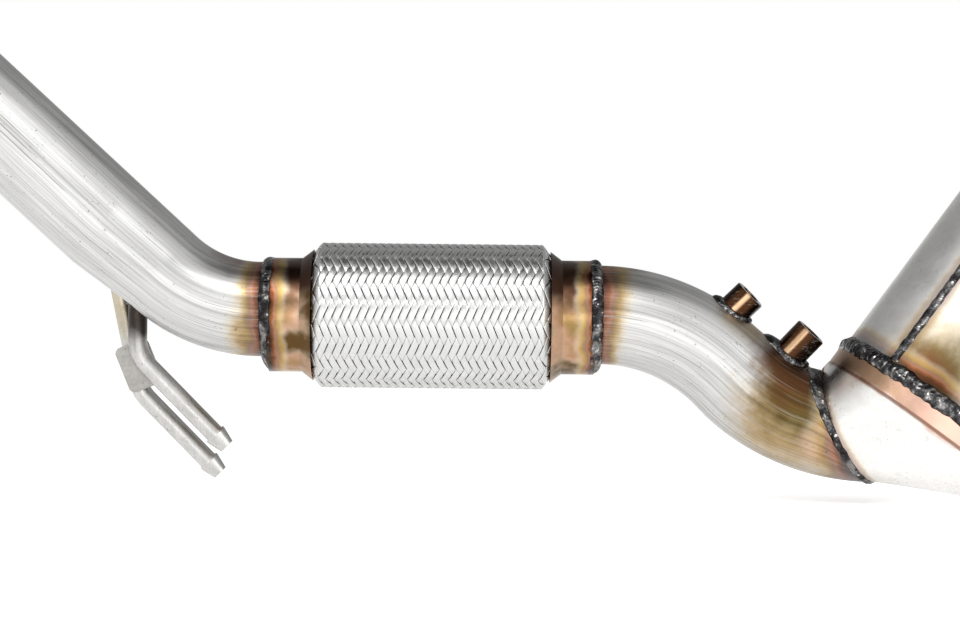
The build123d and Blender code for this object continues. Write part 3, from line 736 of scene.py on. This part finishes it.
# %% Seam bead
SEAM_TURN = math.radians(-46.0)
SEAM_HALF = 3.1
SEAM_START, SEAM_END = 105.5, 298.5
SEAM_POINTS = 420
seam_out = inlet.to_3x3() @ spoke(SEAM_TURN)
sideways = np.array(inlet.col[1])[:3]
foot, rim = [], []
for k in range(SEAM_POINTS):
    place = moved(inlet, z=SEAM_START + (SEAM_END - SEAM_START) * k / (SEAM_POINTS - 1))
    for row, side in ((foot, -1), (rim, 1)):
        turn = SEAM_TURN + side * SEAM_HALF / CANISTER_RADIUS
        shake = 0.15 * noise.noise(Vector((k * 0.13, side, 0)))
        across = spoke(turn) * (CANISTER_RADIUS + 0.02) * MM
        row.append(np.array(place @ across) + shake * MM * sideways)
beads.append(laid_bead("canister_seam_laid", "canister_seam_weld", np.array(foot), np.array(rim),
                       np.array([seam_out] * SEAM_POINTS), 0.85, 1.5, 0.12, 0.12, closed=False))

# %% [markdown]
# Groups for the materials. Several metals here show the same things: fine lines from drawing and
# brushing, small dark pits, and the oxide colours that a weld leaves. Each of these is one group of
# nodes, used with different values in each metal. Colours, masks and values come out of a group,
# and the metal itself stays in the material, where the export can read it.

# %% Shader groups
ORIGIN = (0.0, 0.0, 0.0)


def shader_group(name, inputs, *outputs):
    """Empty group: gives its net, its inputs' values and the sockets of its outputs."""
    tree = bpy.data.node_groups.new(name, "ShaderNodeTree")
    named_inputs(tree, {"Place": ORIGIN, **inputs})
    for output in outputs:
        kind = "NodeSocketColor" if output == "Color" else "NodeSocketFloat"
        tree.interface.new_socket(output, in_out="OUTPUT", socket_type=kind)
    net = Net(tree)
    return net, net.outputs(net.add("NodeGroupInput")), net.add("NodeGroupOutput").inputs


def ramp(net, value, stops):
    """Colour ramp with stops of (place, red, green, blue)."""
    node = net.add("ShaderNodeValToRGB", {"Fac": value})
    elements = node.color_ramp.elements
    while len(elements) > 1:
        elements.remove(elements[-1])
    elements[0].position = stops[0][0]
    elements[0].color = (*stops[0][1:], 1.0)
    for stop in stops[1:]:
        elements.new(stop[0]).color = (*stop[1:], 1.0)
    return node.outputs["Color"]


def grain_group():
    """Fine lines along z of the place, and slow clouds."""
    net, given, result = shader_group(
        "drawn grain", {"Across": 900.0, "Along": 9.0, "Cloud size": 30.0}, "Lines", "Coarse lines", "Cloud")
    stretch = net.combined(given["Across"], given["Across"], given["Along"])
    stretched = net.vector("MULTIPLY", given["Place"], stretch)
    broad = net.vector("MULTIPLY", stretched, (0.22, 0.22, 0.5))
    net.feed(result["Lines"], net.noise(stretched, 1.0, 4.0, 0.65))
    net.feed(result["Coarse lines"], net.noise(broad, 1.0, 2.0, 0.6))
    net.feed(result["Cloud"], net.noise(given["Place"], given["Cloud size"], 4.0, 0.6))
    return net.tree


def pit_group():
    """Mask of scattered dark pits and short scratches."""
    net, given, result = shader_group("pits", {"Size": 420.0, "Share": 0.3}, "Mask")
    fine = net.noise(given["Place"], given["Size"], 2.0, 0.7)
    where = net.noise(given["Place"], given["Size"] * 0.09, 2.0, 0.5)
    edge = 0.86 - given["Share"] * where
    net.feed(result["Mask"], net.between(fine, edge - 0.05, edge + 0.02))
    return net.tree


HEAT_COLOURS = [
    (0.00, 0.008, 0.006, 0.005), (0.13, 0.04, 0.014, 0.008), (0.24, 0.17, 0.055, 0.025),
    (0.34, 0.32, 0.15, 0.085), (0.41, 0.25, 0.15, 0.11), (0.48, 0.31, 0.20, 0.08),
    (0.60, 0.46, 0.31, 0.11), (0.78, 0.66, 0.55, 0.36), (1.0, 0.72, 0.69, 0.63),
]


def heat_group():
    """Oxide colours by distance from a weld, with a ragged edge."""
    net, given, result = shader_group(
        "weld heat", {"Distance": 0.0, "Reach": 0.02, "Wander": 0.3, "Strength": 1.0}, "Color", "Cover")
    share = abs(given["Distance"]) / given["Reach"]
    ragged = net.noise(given["Place"], 55.0, 4.0, 0.6) - 0.5
    place = share + ragged * given["Wander"]
    net.feed(result["Color"], ramp(net, place, HEAT_COLOURS))
    net.feed(result["Cover"], net.between(place, 0.45, 1.0, 1.0, 0.0) * given["Strength"])
    return net.tree


def spot_group():
    """Soft ragged patch round a centre."""
    net, given, result = shader_group("patch", {"Centre": ORIGIN, "Size": 0.02, "Wander": 0.5}, "Mask")
    share = net.vector("DISTANCE", given["Place"], given["Centre"]) / given["Size"]
    ragged = net.noise(given["Place"], 70.0, 4.0, 0.6) - 0.5
    edge = share + ragged * given["Wander"]
    net.feed(result["Mask"], net.between(edge, 0.3, 1.0, 1.0, 0.0))
    return net.tree


GRAIN = grain_group()
PITS = pit_group()
HEAT = heat_group()
SPOT = spot_group()
print("groups:", [tree.name for tree in (GRAIN, PITS, HEAT, SPOT)])

# %% [markdown]
# A metal is built up the way its surface came about: clean steel first, lines from drawing, then
# heat colours from each weld, then pits and dirt on top. One class is the net with the running
# colour, so each finish below reads as a list of layers.

# %% Metal builder
class Metal(Net):
    """A net for one material: layers of colour and roughness over a metallic surface."""

    def __init__(self, name, colour, roughness, attribute=None, material=None):
        self.material = material or bpy.data.materials.new(name)
        super().__init__(emptied(self.material))
        self.object_place = self.value("ShaderNodeTexCoord", output="Object")
        self.place = self.object_place
        if attribute:
            self.place = self.value("ShaderNodeAttribute", output="Vector", attribute_name=attribute)
        self.colour = (*colour, 1.0)
        self.roughness = roughness
        self.height = 0.0
        self.metallic = 1.0

    def group(self, tree, **inputs):
        node = self.add("ShaderNodeGroup", node_tree=tree)
        for name, value in inputs.items():
            self.feed(node.inputs[name.replace("_", " ")], value)
        return self.outputs(node)

    def along(self, origin, axis):
        """Distance from a plane, in metres."""
        shifted = self.vector("SUBTRACT", self.object_place, tuple(origin))
        return self.vector("DOT_PRODUCT", shifted, tuple(axis))

    def mix(self, share, colour, blend="MIX"):
        """Lays a colour over what is there, by a mask."""
        if isinstance(colour, tuple):
            colour = (*colour, 1.0)
        node = self.add("ShaderNodeMix", data_type="RGBA", blend_type=blend)
        colour_inputs = [s for s in node.inputs if s.type == "RGBA"]
        self.feed(node.inputs["Factor"], share)
        self.feed(colour_inputs[0], self.colour)
        self.feed(colour_inputs[1], colour)
        self.colour = [s for s in node.outputs if s.type == "RGBA"][0]
        return self

    def tint(self, value, low, high, colour, strength=1.0):
        """Lays a colour where a value has gone from one number to another."""
        return self.mix(self.between(value, low, high, 0.0, strength), colour)

    def rough(self, share, roughness):
        """Moves the roughness to another value, by a mask."""
        self.roughness = self.roughness + share * (roughness - self.roughness)
        return self

    def raise_by(self, value, amount):
        self.height = self.height + value * amount
        return self

    def heat(self, distance, reach, wander=0.35, strength=1.0):
        """Oxide colours by distance from a weld."""
        out = self.group(HEAT, Place=self.object_place, Distance=distance, Reach=reach, Wander=wander,
                         Strength=strength)
        return self.mix(out["Cover"], out["Color"])

    def patch(self, centre, size, colour, strength=1.0, wander=0.6):
        out = self.group(SPOT, Place=self.object_place, Centre=centre, Size=size, Wander=wander)
        return self.mix(out["Mask"] * strength, colour)

    def grain(self, across=900.0, along=9.0, cloud=30.0, depth=0.35, shade=0.3):
        out = self.group(GRAIN, Place=self.place, Across=across, Along=along, Cloud_size=cloud)
        dark = self.between(out["Lines"], 0.35, 0.62, 1.0, 0.0)
        coarse = self.between(out["Coarse lines"], 0.35, 0.6, 1.0, 0.0)
        self.mix(dark * shade, (0.3, 0.3, 0.3), "MULTIPLY")
        self.mix(coarse * (shade * 0.8), (0.42, 0.42, 0.42), "MULTIPLY")
        thin = self.between(out["Lines"], 0.59, 0.64)
        self.mix(thin * (shade * 1.8), (0.22, 0.215, 0.2))
        self.rough(self.between(out["Cloud"], 0.35, 0.7), 0.42)
        return self.raise_by(out["Lines"], depth)

    def pits(self, size=420.0, share=0.3, colour=(0.08, 0.08, 0.08)):
        mask = self.group(PITS, Place=self.place, Size=size, Share=share)["Mask"]
        self.mix(mask * 0.8, colour)
        return self.raise_by(mask, -0.8)

    def done(self, *pieces, bump=0.1, distance=0.0004):
        """Closes the material and gives it to pieces, by their names."""
        finish = {"Metallic": self.metallic, "Base Color": self.colour, "Roughness": self.roughness}
        shader = self.add("ShaderNodeBsdfPrincipled", finish)
        if isinstance(self.height, Value):
            relief = {"Strength": bump, "Distance": distance, "Height": self.height}
            self.feed(shader.inputs["Normal"], self.value("ShaderNodeBump", relief))
        self.add("ShaderNodeOutputMaterial", {"Surface": shader.outputs["BSDF"]})
        for name in pieces:
            obj = nodes.get(name) or bpy.data.objects[name]
            if not obj.material_slots:
                obj.data.materials.append(self.material)
            for slot in obj.material_slots:
                slot.material = self.material
        print(self.material.name, "on", ", ".join(pieces) or "what its tree made")


# %% [markdown]
# The pipes are pale stainless with fine lines along them. Where a weld has heated the steel it goes
# from near black at the bead through red brown, violet and gold to straw, and then back to bare
# metal. The distance from each weld comes from the pipe's own unbent place, so the bands follow the
# tube round its bends.

# %% Pipe steel
STEEL = (0.66, 0.655, 0.645)
flow = Vector((-1.0, 0.0, 0.0))


def tube_steel(piece, name, welds, patches):
    """Drawn tube with heat bands at given distances along it and coloured patches."""
    metal = Metal(name, STEEL, 0.34, attribute="unbent")
    run = metal.parts(metal.place)[2]
    for centre, size, colour, strength in patches:
        metal.patch(centre, size, colour, strength)
    for weld, reach, strength in welds:
        metal.heat(run - weld, reach, 0.55, strength)
    metal.grain(along=7.0, shade=0.42)
    metal.pits(size=620.0, share=0.27, colour=(0.1, 0.1, 0.1))
    metal.done(piece, bump=0.16)


GOLD = (0.44, 0.29, 0.10)
OLIVE = (0.13, 0.095, 0.028)
BROWN = (0.13, 0.055, 0.025)
HEAT_AND_SHADOW_BLACK = (0.02, 0.013, 0.009)
PINK = (0.70, 0.42, 0.33)
tube_steel(
    "front_pipe_drawn", "front_pipe_steel",
    [(0.0, 0.026, 0.95)],
    [((-0.6080, 0.0, -0.1590), 0.030, BROWN, 0.75)],
)
tube_steel(
    "mid_pipe_drawn", "mid_pipe_steel",
    [(0.0, 0.034, 0.8), (mid_length * MM, 0.025, 0.95)],
    [
        ((-0.2740, -0.030, -0.2520), 0.052, GOLD, 0.85),
        ((-0.2660, -0.030, -0.2320), 0.044, OLIVE, 1.0),
        ((-0.2700, -0.022, -0.2160), 0.040, BROWN, 0.95),
        ((-0.3020, -0.010, -0.1900), 0.026, GOLD, 0.6),
        ((-0.2520, -0.030, -0.2660), 0.022, PINK, 0.7),
        ((-0.3830, 0.0, -0.1560), 0.032, BROWN, 0.85),
    ],
)

# %% [markdown]
# The canister and its two end caps are stamped from brighter sheet. Their heat colours follow the
# girth beads and the long seam, so distances are taken along the canister's axis and, for the
# seam, square to the plane that holds the seam and the axis. The dome also has a brown band with a
# rosy place in it, and a dark line along the crease in the sheet, which is a painted reflection.

# %% Sheet steel
NECK_FOOT = 0.017
CONE_FOOT = 0.0955
BAND = 0.3105
CREASE = 0.3190
ROSY_CENTRE = (-0.1800, -0.055, -0.2580)
axis = inlet.to_3x3() @ Vector((0, 0, 1))
seam_side = (inlet @ Matrix.Rotation(SEAM_TURN, 4, "Z")).to_3x3() @ Vector((0, 1, 0))


def sheet_steel(name, colour, roughness):
    """Bright sheet, and the distance along the canister's axis."""
    metal = Metal(name, colour, roughness)
    metal.grain(across=160.0, along=160.0, cloud=22.0, depth=0.1, shade=0.10)
    return metal, metal.along(inlet.translation, axis)


canister, station = sheet_steel("canister_sheet", (0.74, 0.73, 0.71), 0.26)
canister.heat(canister.along(inlet.translation, seam_side), 0.011, 0.5, 0.55)
canister.patch((-0.1900, -0.062, -0.2130), 0.046, GOLD, 0.5)
canister.patch((-0.1940, -0.062, -0.2200), 0.036, OLIVE, 0.95)
canister.patch((-0.2010, -0.062, -0.2240), 0.028, BROWN, 0.95)
canister.heat(station - SEAM_END * MM, 0.013, 0.6, 0.6)
canister.heat(station - SEAM_START * MM, 0.03, 0.5, 0.8)
canister.pits(size=300.0, share=0.14)
canister.done("canister_shell", bump=0.08)

dome, station = sheet_steel("dome_sheet", (0.80, 0.79, 0.77), 0.24)
from_band = abs(station - BAND)
cloud = dome.noise(dome.object_place, 60.0, 4.0, 0.6)
ragged = from_band + (cloud - 0.5) * 0.008
band = dome.between(ragged, 0.0065, 0.0115, 1.0, 0.0)
dome.mix(band * 0.9, (0.24, 0.12, 0.045))
rosy = dome.group(SPOT, Place=dome.object_place, Centre=ROSY_CENTRE, Size=0.062, Wander=0.4)["Mask"]
dome.mix(band * rosy * 0.95, (0.78, 0.50, 0.40))
# painted reflection: a dark line along the crease
from_crease = abs(station - CREASE)
dome.mix(dome.between(from_crease, 0.0004, 0.0016, 0.75, 0.0), (0.16, 0.06, 0.03))
dome.heat(dome.along(mouth.translation, mouth.col[2][:3]), 0.009, 0.5, 0.6)
dome.pits(size=300.0, share=0.13)
dome.done("outlet_dome", bump=0.08)

cone, station = sheet_steel("cone_sheet", (0.74, 0.73, 0.71), 0.26)
cone.heat(station - CONE_FOOT, 0.02, 0.5, 0.8)
cone.heat(station - NECK_FOOT, 0.02, 0.5, 0.85)
cone.pits(size=300.0, share=0.14)
cone.done("inlet_cone", bump=0.08)

# %% [markdown]
# Collars, bosses and rods are small turned or bent pieces, so they share one start: fine lines round
# them and slow clouds. The collars took most of the heat. They go from straw to brown in soft stains,
# and their tops are nearly black with a painted dark reflection.

# %% Collars
def turned(name, colour, roughness, shade=0.2, across=200.0, along=900.0):
    metal = Metal(name, colour, roughness)
    metal.grain(across=across, along=along, cloud=60.0, depth=0.3, shade=shade)
    return metal


collar = turned("collar_steel", (0.50, 0.39, 0.27), 0.27)
stain = collar.noise(collar.object_place, 42.0, 3.0, 0.5)
collar.tint(stain, 0.34, 0.60, (0.48, 0.27, 0.18))
collar.tint(stain, 0.45, 0.70, (0.26, 0.17, 0.06))
collar.tint(stain, 0.52, 0.30, (0.10, 0.055, 0.02))
# painted dark reflection over the top of each collar, its edge made ragged by the stains
above = collar.along(flex_centre.translation, (0, 0, 1))
top_reflection_edge = above + stain * 0.03
collar.tint(top_reflection_edge, 0.018, 0.032, (0.035, 0.014, 0.008), 0.95)
collar.heat(collar.along(flex_start.translation, flow), 0.014, 0.8, 0.85)
collar.heat(collar.along(flex_end.translation, flow), 0.014, 0.8, 0.85)
collar.pits(size=600.0, share=0.2)
collar.done("flex_rear_collar", "flex_front_collar", bump=0.12)

# %% [markdown]
# The bosses were welded in hot and came out nearly black. The bright bronze band down one side is a
# painted highlight, with a painted brown edge beside it, laid out square to each boss's own axis.

# %% Bosses
def boss_finish(piece, name, station, highlight_offset):
    """Dark bronze with a painted highlight at a place across the boss, in metres, and a painted brown edge
    beside it.
    """
    metal = turned(name, (0.018, 0.009, 0.005), 0.2, shade=0.4)
    side = station.to_3x3() @ Vector((1, 0, 0))
    across = metal.along(station.translation + side * highlight_offset, side)
    # painted highlight down one side of the boss, with a painted brown edge round it
    near = metal.between(abs(across), 0.0008, 0.0026, 1.0, 0.0)
    metal.mix(near * 0.9, (0.62, 0.40, 0.24))
    brown = metal.between(abs(across), 0.0045, 0.0075, 1.0, 0.0)
    metal.mix((brown - near) * 0.6, (0.10, 0.042, 0.018))
    metal.pits(size=500.0, share=0.3, colour=(0.01, 0.008, 0.006))
    metal.done(piece, bump=0.15)


boss_finish("tall_sensor_boss", "tall_boss_bronze", tall_station, 0.0035)
boss_finish("short_sensor_boss", "short_boss_bronze", short_station, 0.001)
boss_finish("inlet_sensor_boss", "inlet_boss_bronze", inlet_boss, 0.002)

# %% [markdown]
# The hanger is bent from bright rod with fine lines along it. It is black where it was welded on,
# partly heat colour and partly painted shadow where the rod goes behind the pipe.
# The web between the rods is a duller plate. The flange beyond the picture's edge is plain plate too.

# %% Hanger and flange
rod = turned("rod_wire", (0.56, 0.55, 0.53), 0.3, across=700.0, along=60.0)
rod.patch((-0.6860, 0.038, -0.1840), 0.028, (0.50, 0.43, 0.30), 0.8)
# heat colour and painted shadow: near black on the rod where it goes behind the pipe
rod.patch((-0.6750, 0.018, -0.1900), 0.026, HEAT_AND_SHADOW_BLACK, 0.95)
rod.pits(size=700.0, share=0.3)
rod.done("hanger_rod_near", "hanger_rod_far", bump=0.15)

web = turned("web_plate", (0.34, 0.33, 0.31), 0.45, across=400.0, along=400.0)
web.pits(size=500.0, share=0.3)
web.done("hanger_web", bump=0.15)

flange = turned("flange_plate", (0.5, 0.49, 0.47), 0.34, across=500.0, along=500.0)
flange.heat(flange.along(inlet.translation + axis * 0.012, axis), 0.012, 0.5, 0.7)
flange.pits(size=260.0, share=0.34)
flange.done("inlet_flange", bump=0.2)

# %% [markdown]
# Weld metal cools with a thin dark skin. The silver spots where the skin has flaked are painted
# glints. Noise at two scales picks the bare places, and the roughness goes with it.

# %% Weld metal
weld = Metal("weld_metal", (0.045, 0.044, 0.046), 0.3)
skin = weld.noise(weld.object_place, 150.0, 3.0, 0.6)
flake_and_glint = weld.noise(weld.object_place, 300.0, 2.0, 0.55)
weld.tint(skin, 0.47, 0.62, (0.19, 0.185, 0.18))
# painted glints: silver spots on the flaked places
weld.tint(flake_and_glint, 0.63, 0.71, (0.6, 0.6, 0.6), 0.75)
weld.tint(skin, 0.48, 0.36, (0.016, 0.014, 0.014), 0.9)
weld.rough(weld.between(flake_and_glint, 0.4, 0.7), 0.2)
weld.raise_by(flake_and_glint, 0.6)
weld.done(*[obj.name for obj in beads], "hanger_rod_weld", "hanger_back_weld", bump=0.15, distance=0.0003)

# %% [markdown]
# The braid wire is bright. Each ribbon carries its place across and how far it is lifted. With these,
# painted shade runs in lines along the grooves between the wires and along the ribbon edges, and the
# places that dip under are darker with painted shade.

# %% Braid wire
braid = Metal("braid_wire", (0.63, 0.63, 0.62), 0.26, attribute="ribbon", material=braid_material)
across, lifted = list(braid.parts(braid.place))[:2]
wires = abs(braid.maths("SINE", across * (WIRES * math.pi)))
# painted shade in the grooves between the wires
braid.tint(wires, 0.5, 0.0, (0.2, 0.2, 0.195), 0.5)
# painted shade along the ribbon edges, between the ribbons
braid.tint(abs(across), 0.44, 0.5, (0.03, 0.03, 0.03), 0.9)
# painted shade where a ribbon dips under the others
braid.tint(lifted, 0.1, -0.7, (0.03, 0.03, 0.03), 0.92)
shine = braid.noise(braid.object_place, 160.0, 2.0, 0.5)
braid.tint(shine, 0.4, 0.7, (0.42, 0.42, 0.41), 0.2)
braid.rough(braid.between(shine, 0.35, 0.65), 0.36)
braid.raise_by(wires, 0.6)
braid.done(bump=0.2)

# %% [markdown]
# Inside the sleeve there are the bellows and the liner. In the canister are a fibre mat and a
# ceramic block. They show only through the open ends and the gaps of the braid. The bellows and
# the liner are painted near black, as painted shade inside the sleeve.

# %% Inner pieces
# painted shade: the bellows and the liner are near black
inner = turned("bellows_sheet", (0.12, 0.118, 0.112), 0.42)
inner.done("flex_bellows", "flex_liner")

mat = Metal("mat_fibre", (0.72, 0.70, 0.64), 0.95)
mat.metallic = 0.0
fibres = mat.noise(mat.object_place, 900.0, 4.0, 0.8)
mat.tint(fibres, 0.4, 0.7, (0.45, 0.42, 0.36)).raise_by(fibres, 1.0)
mat.done("support_mat", bump=0.5)

ceramic = Metal("filter_ceramic", (0.30, 0.285, 0.26), 0.85)
ceramic.metallic = 0.0
grains = ceramic.noise(ceramic.object_place, 1200.0, 3.0, 0.7)
ceramic.tint(grains, 0.4, 0.65, (0.2, 0.19, 0.175)).raise_by(grains, 1.0)
ceramic.done("filter_brick", bump=0.4)

# %% [markdown]
# The stage is a white floor under the lowest point and a white room. The camera stands square to the
# side of the part, far off with a long lens, as in the picture. The room is plain white to the
# camera. What the metal mirrors is the same white with a grey wall behind the part and a dark
# ceiling, because bare metal in an all white room shows no shape at all.

# %% Stage, lamps and camera
FLOOR_SIZE = 30.0
FLOOR_GAP = 0.0005
FLOOR_GLOW = 0.6
ROOM_LEVEL = 0.55
floor = mesh_object("floor", [(-1, -1, 0), (1, -1, 0), (1, 1, 0), (-1, 1, 0)], [(0, 1, 2, 3)])
floor.data.transform(Matrix.Translation((-0.45, 0, CAD_LOW[2] - FLOOR_GAP)) @ Matrix.Scale(FLOOR_SIZE / 2, 4))
floor_material = bpy.data.materials.new("studio_floor")
floor_net = Net(emptied(floor_material))
paths = floor_net.outputs(floor_net.add("ShaderNodeLightPath"))
seen = floor_net.maths("MAXIMUM", paths["Is Camera Ray"], paths["Is Glossy Ray"])
paper = floor_net.value("ShaderNodeBsdfDiffuse", {"Color": (0.86, 0.86, 0.86, 1)})
light = {"Color": (1, 1, 1, 1), "Strength": seen * FLOOR_GLOW}
both = floor_net.value("ShaderNodeAddShader", {0: paper, 1: floor_net.value("ShaderNodeEmission", light)})
floor_net.add("ShaderNodeOutputMaterial", {"Surface": both})
floor.data.materials.append(floor_material)

world = bpy.data.worlds.new("studio")
bpy.context.scene.world = world
room = Net(emptied(world))
paths = room.outputs(room.add("ShaderNodeLightPath"))
direction = room.parts(room.value("ShaderNodeTexCoord", output="Generated"))
behind = room.between(direction[1], -0.05, 0.25) * room.between(direction[2], 0.1, 0.35)
ceiling = room.between(direction[2], 0.88, 0.95)
mirrored = 1.0 - behind * 0.62
mirrored = mirrored * (1.0 - ceiling * 0.93)
level = ROOM_LEVEL + paths["Is Glossy Ray"] * (mirrored - ROOM_LEVEL)
level = room.maths("MAXIMUM", level, paths["Is Camera Ray"])
background = room.value("ShaderNodeBackground", {"Color": (1, 1, 1, 1), "Strength": level})
room.add("ShaderNodeOutputWorld", {"Surface": background})


def softbox(name, place, aim, size, watts):
    """Square lamp at a place, turned to an aim."""
    lamp = bpy.data.lights.new(name, "AREA")
    lamp.shape = "RECTANGLE"
    lamp.size, lamp.size_y = size
    lamp.energy = watts
    obj = in_scene(name, lamp)
    way = Vector(aim) - Vector(place)
    obj.matrix_world = Matrix.Translation(place) @ way.to_track_quat("-Z", "Y").to_matrix().to_4x4()
    return obj


MIDDLE = (-0.45, 0.0, -0.15)
softbox("key_softbox", (-0.9, -1.1, 1.2), MIDDLE, (1.2, 0.8), 16.0)
softbox("side_softbox", (1.0, -1.2, 0.1), MIDDLE, (0.6, 1.2), 7.0)
softbox("low_softbox", (-0.4, -1.3, -0.2), MIDDLE, (1.6, 0.3), 3.0)

LENS = 97.0
CAMERA_PLACE = (-0.4639, -1.6, -0.1904)
ROLL = 0.6
camera_data = bpy.data.cameras.new("camera")
camera_data.lens = LENS
camera_data.sensor_width = 36.0
camera = in_scene("camera", camera_data)
camera.matrix_world = (
    Matrix.Translation(CAMERA_PLACE)
    @ Matrix.Rotation(math.radians(90), 4, "X")
    @ Matrix.Rotation(math.radians(ROLL), 4, "Z")
)
bpy.context.scene.camera = camera
bpy.context.scene.view_settings.view_transform = "Standard"
print("camera at", CAMERA_PLACE, "with a lens of", LENS)
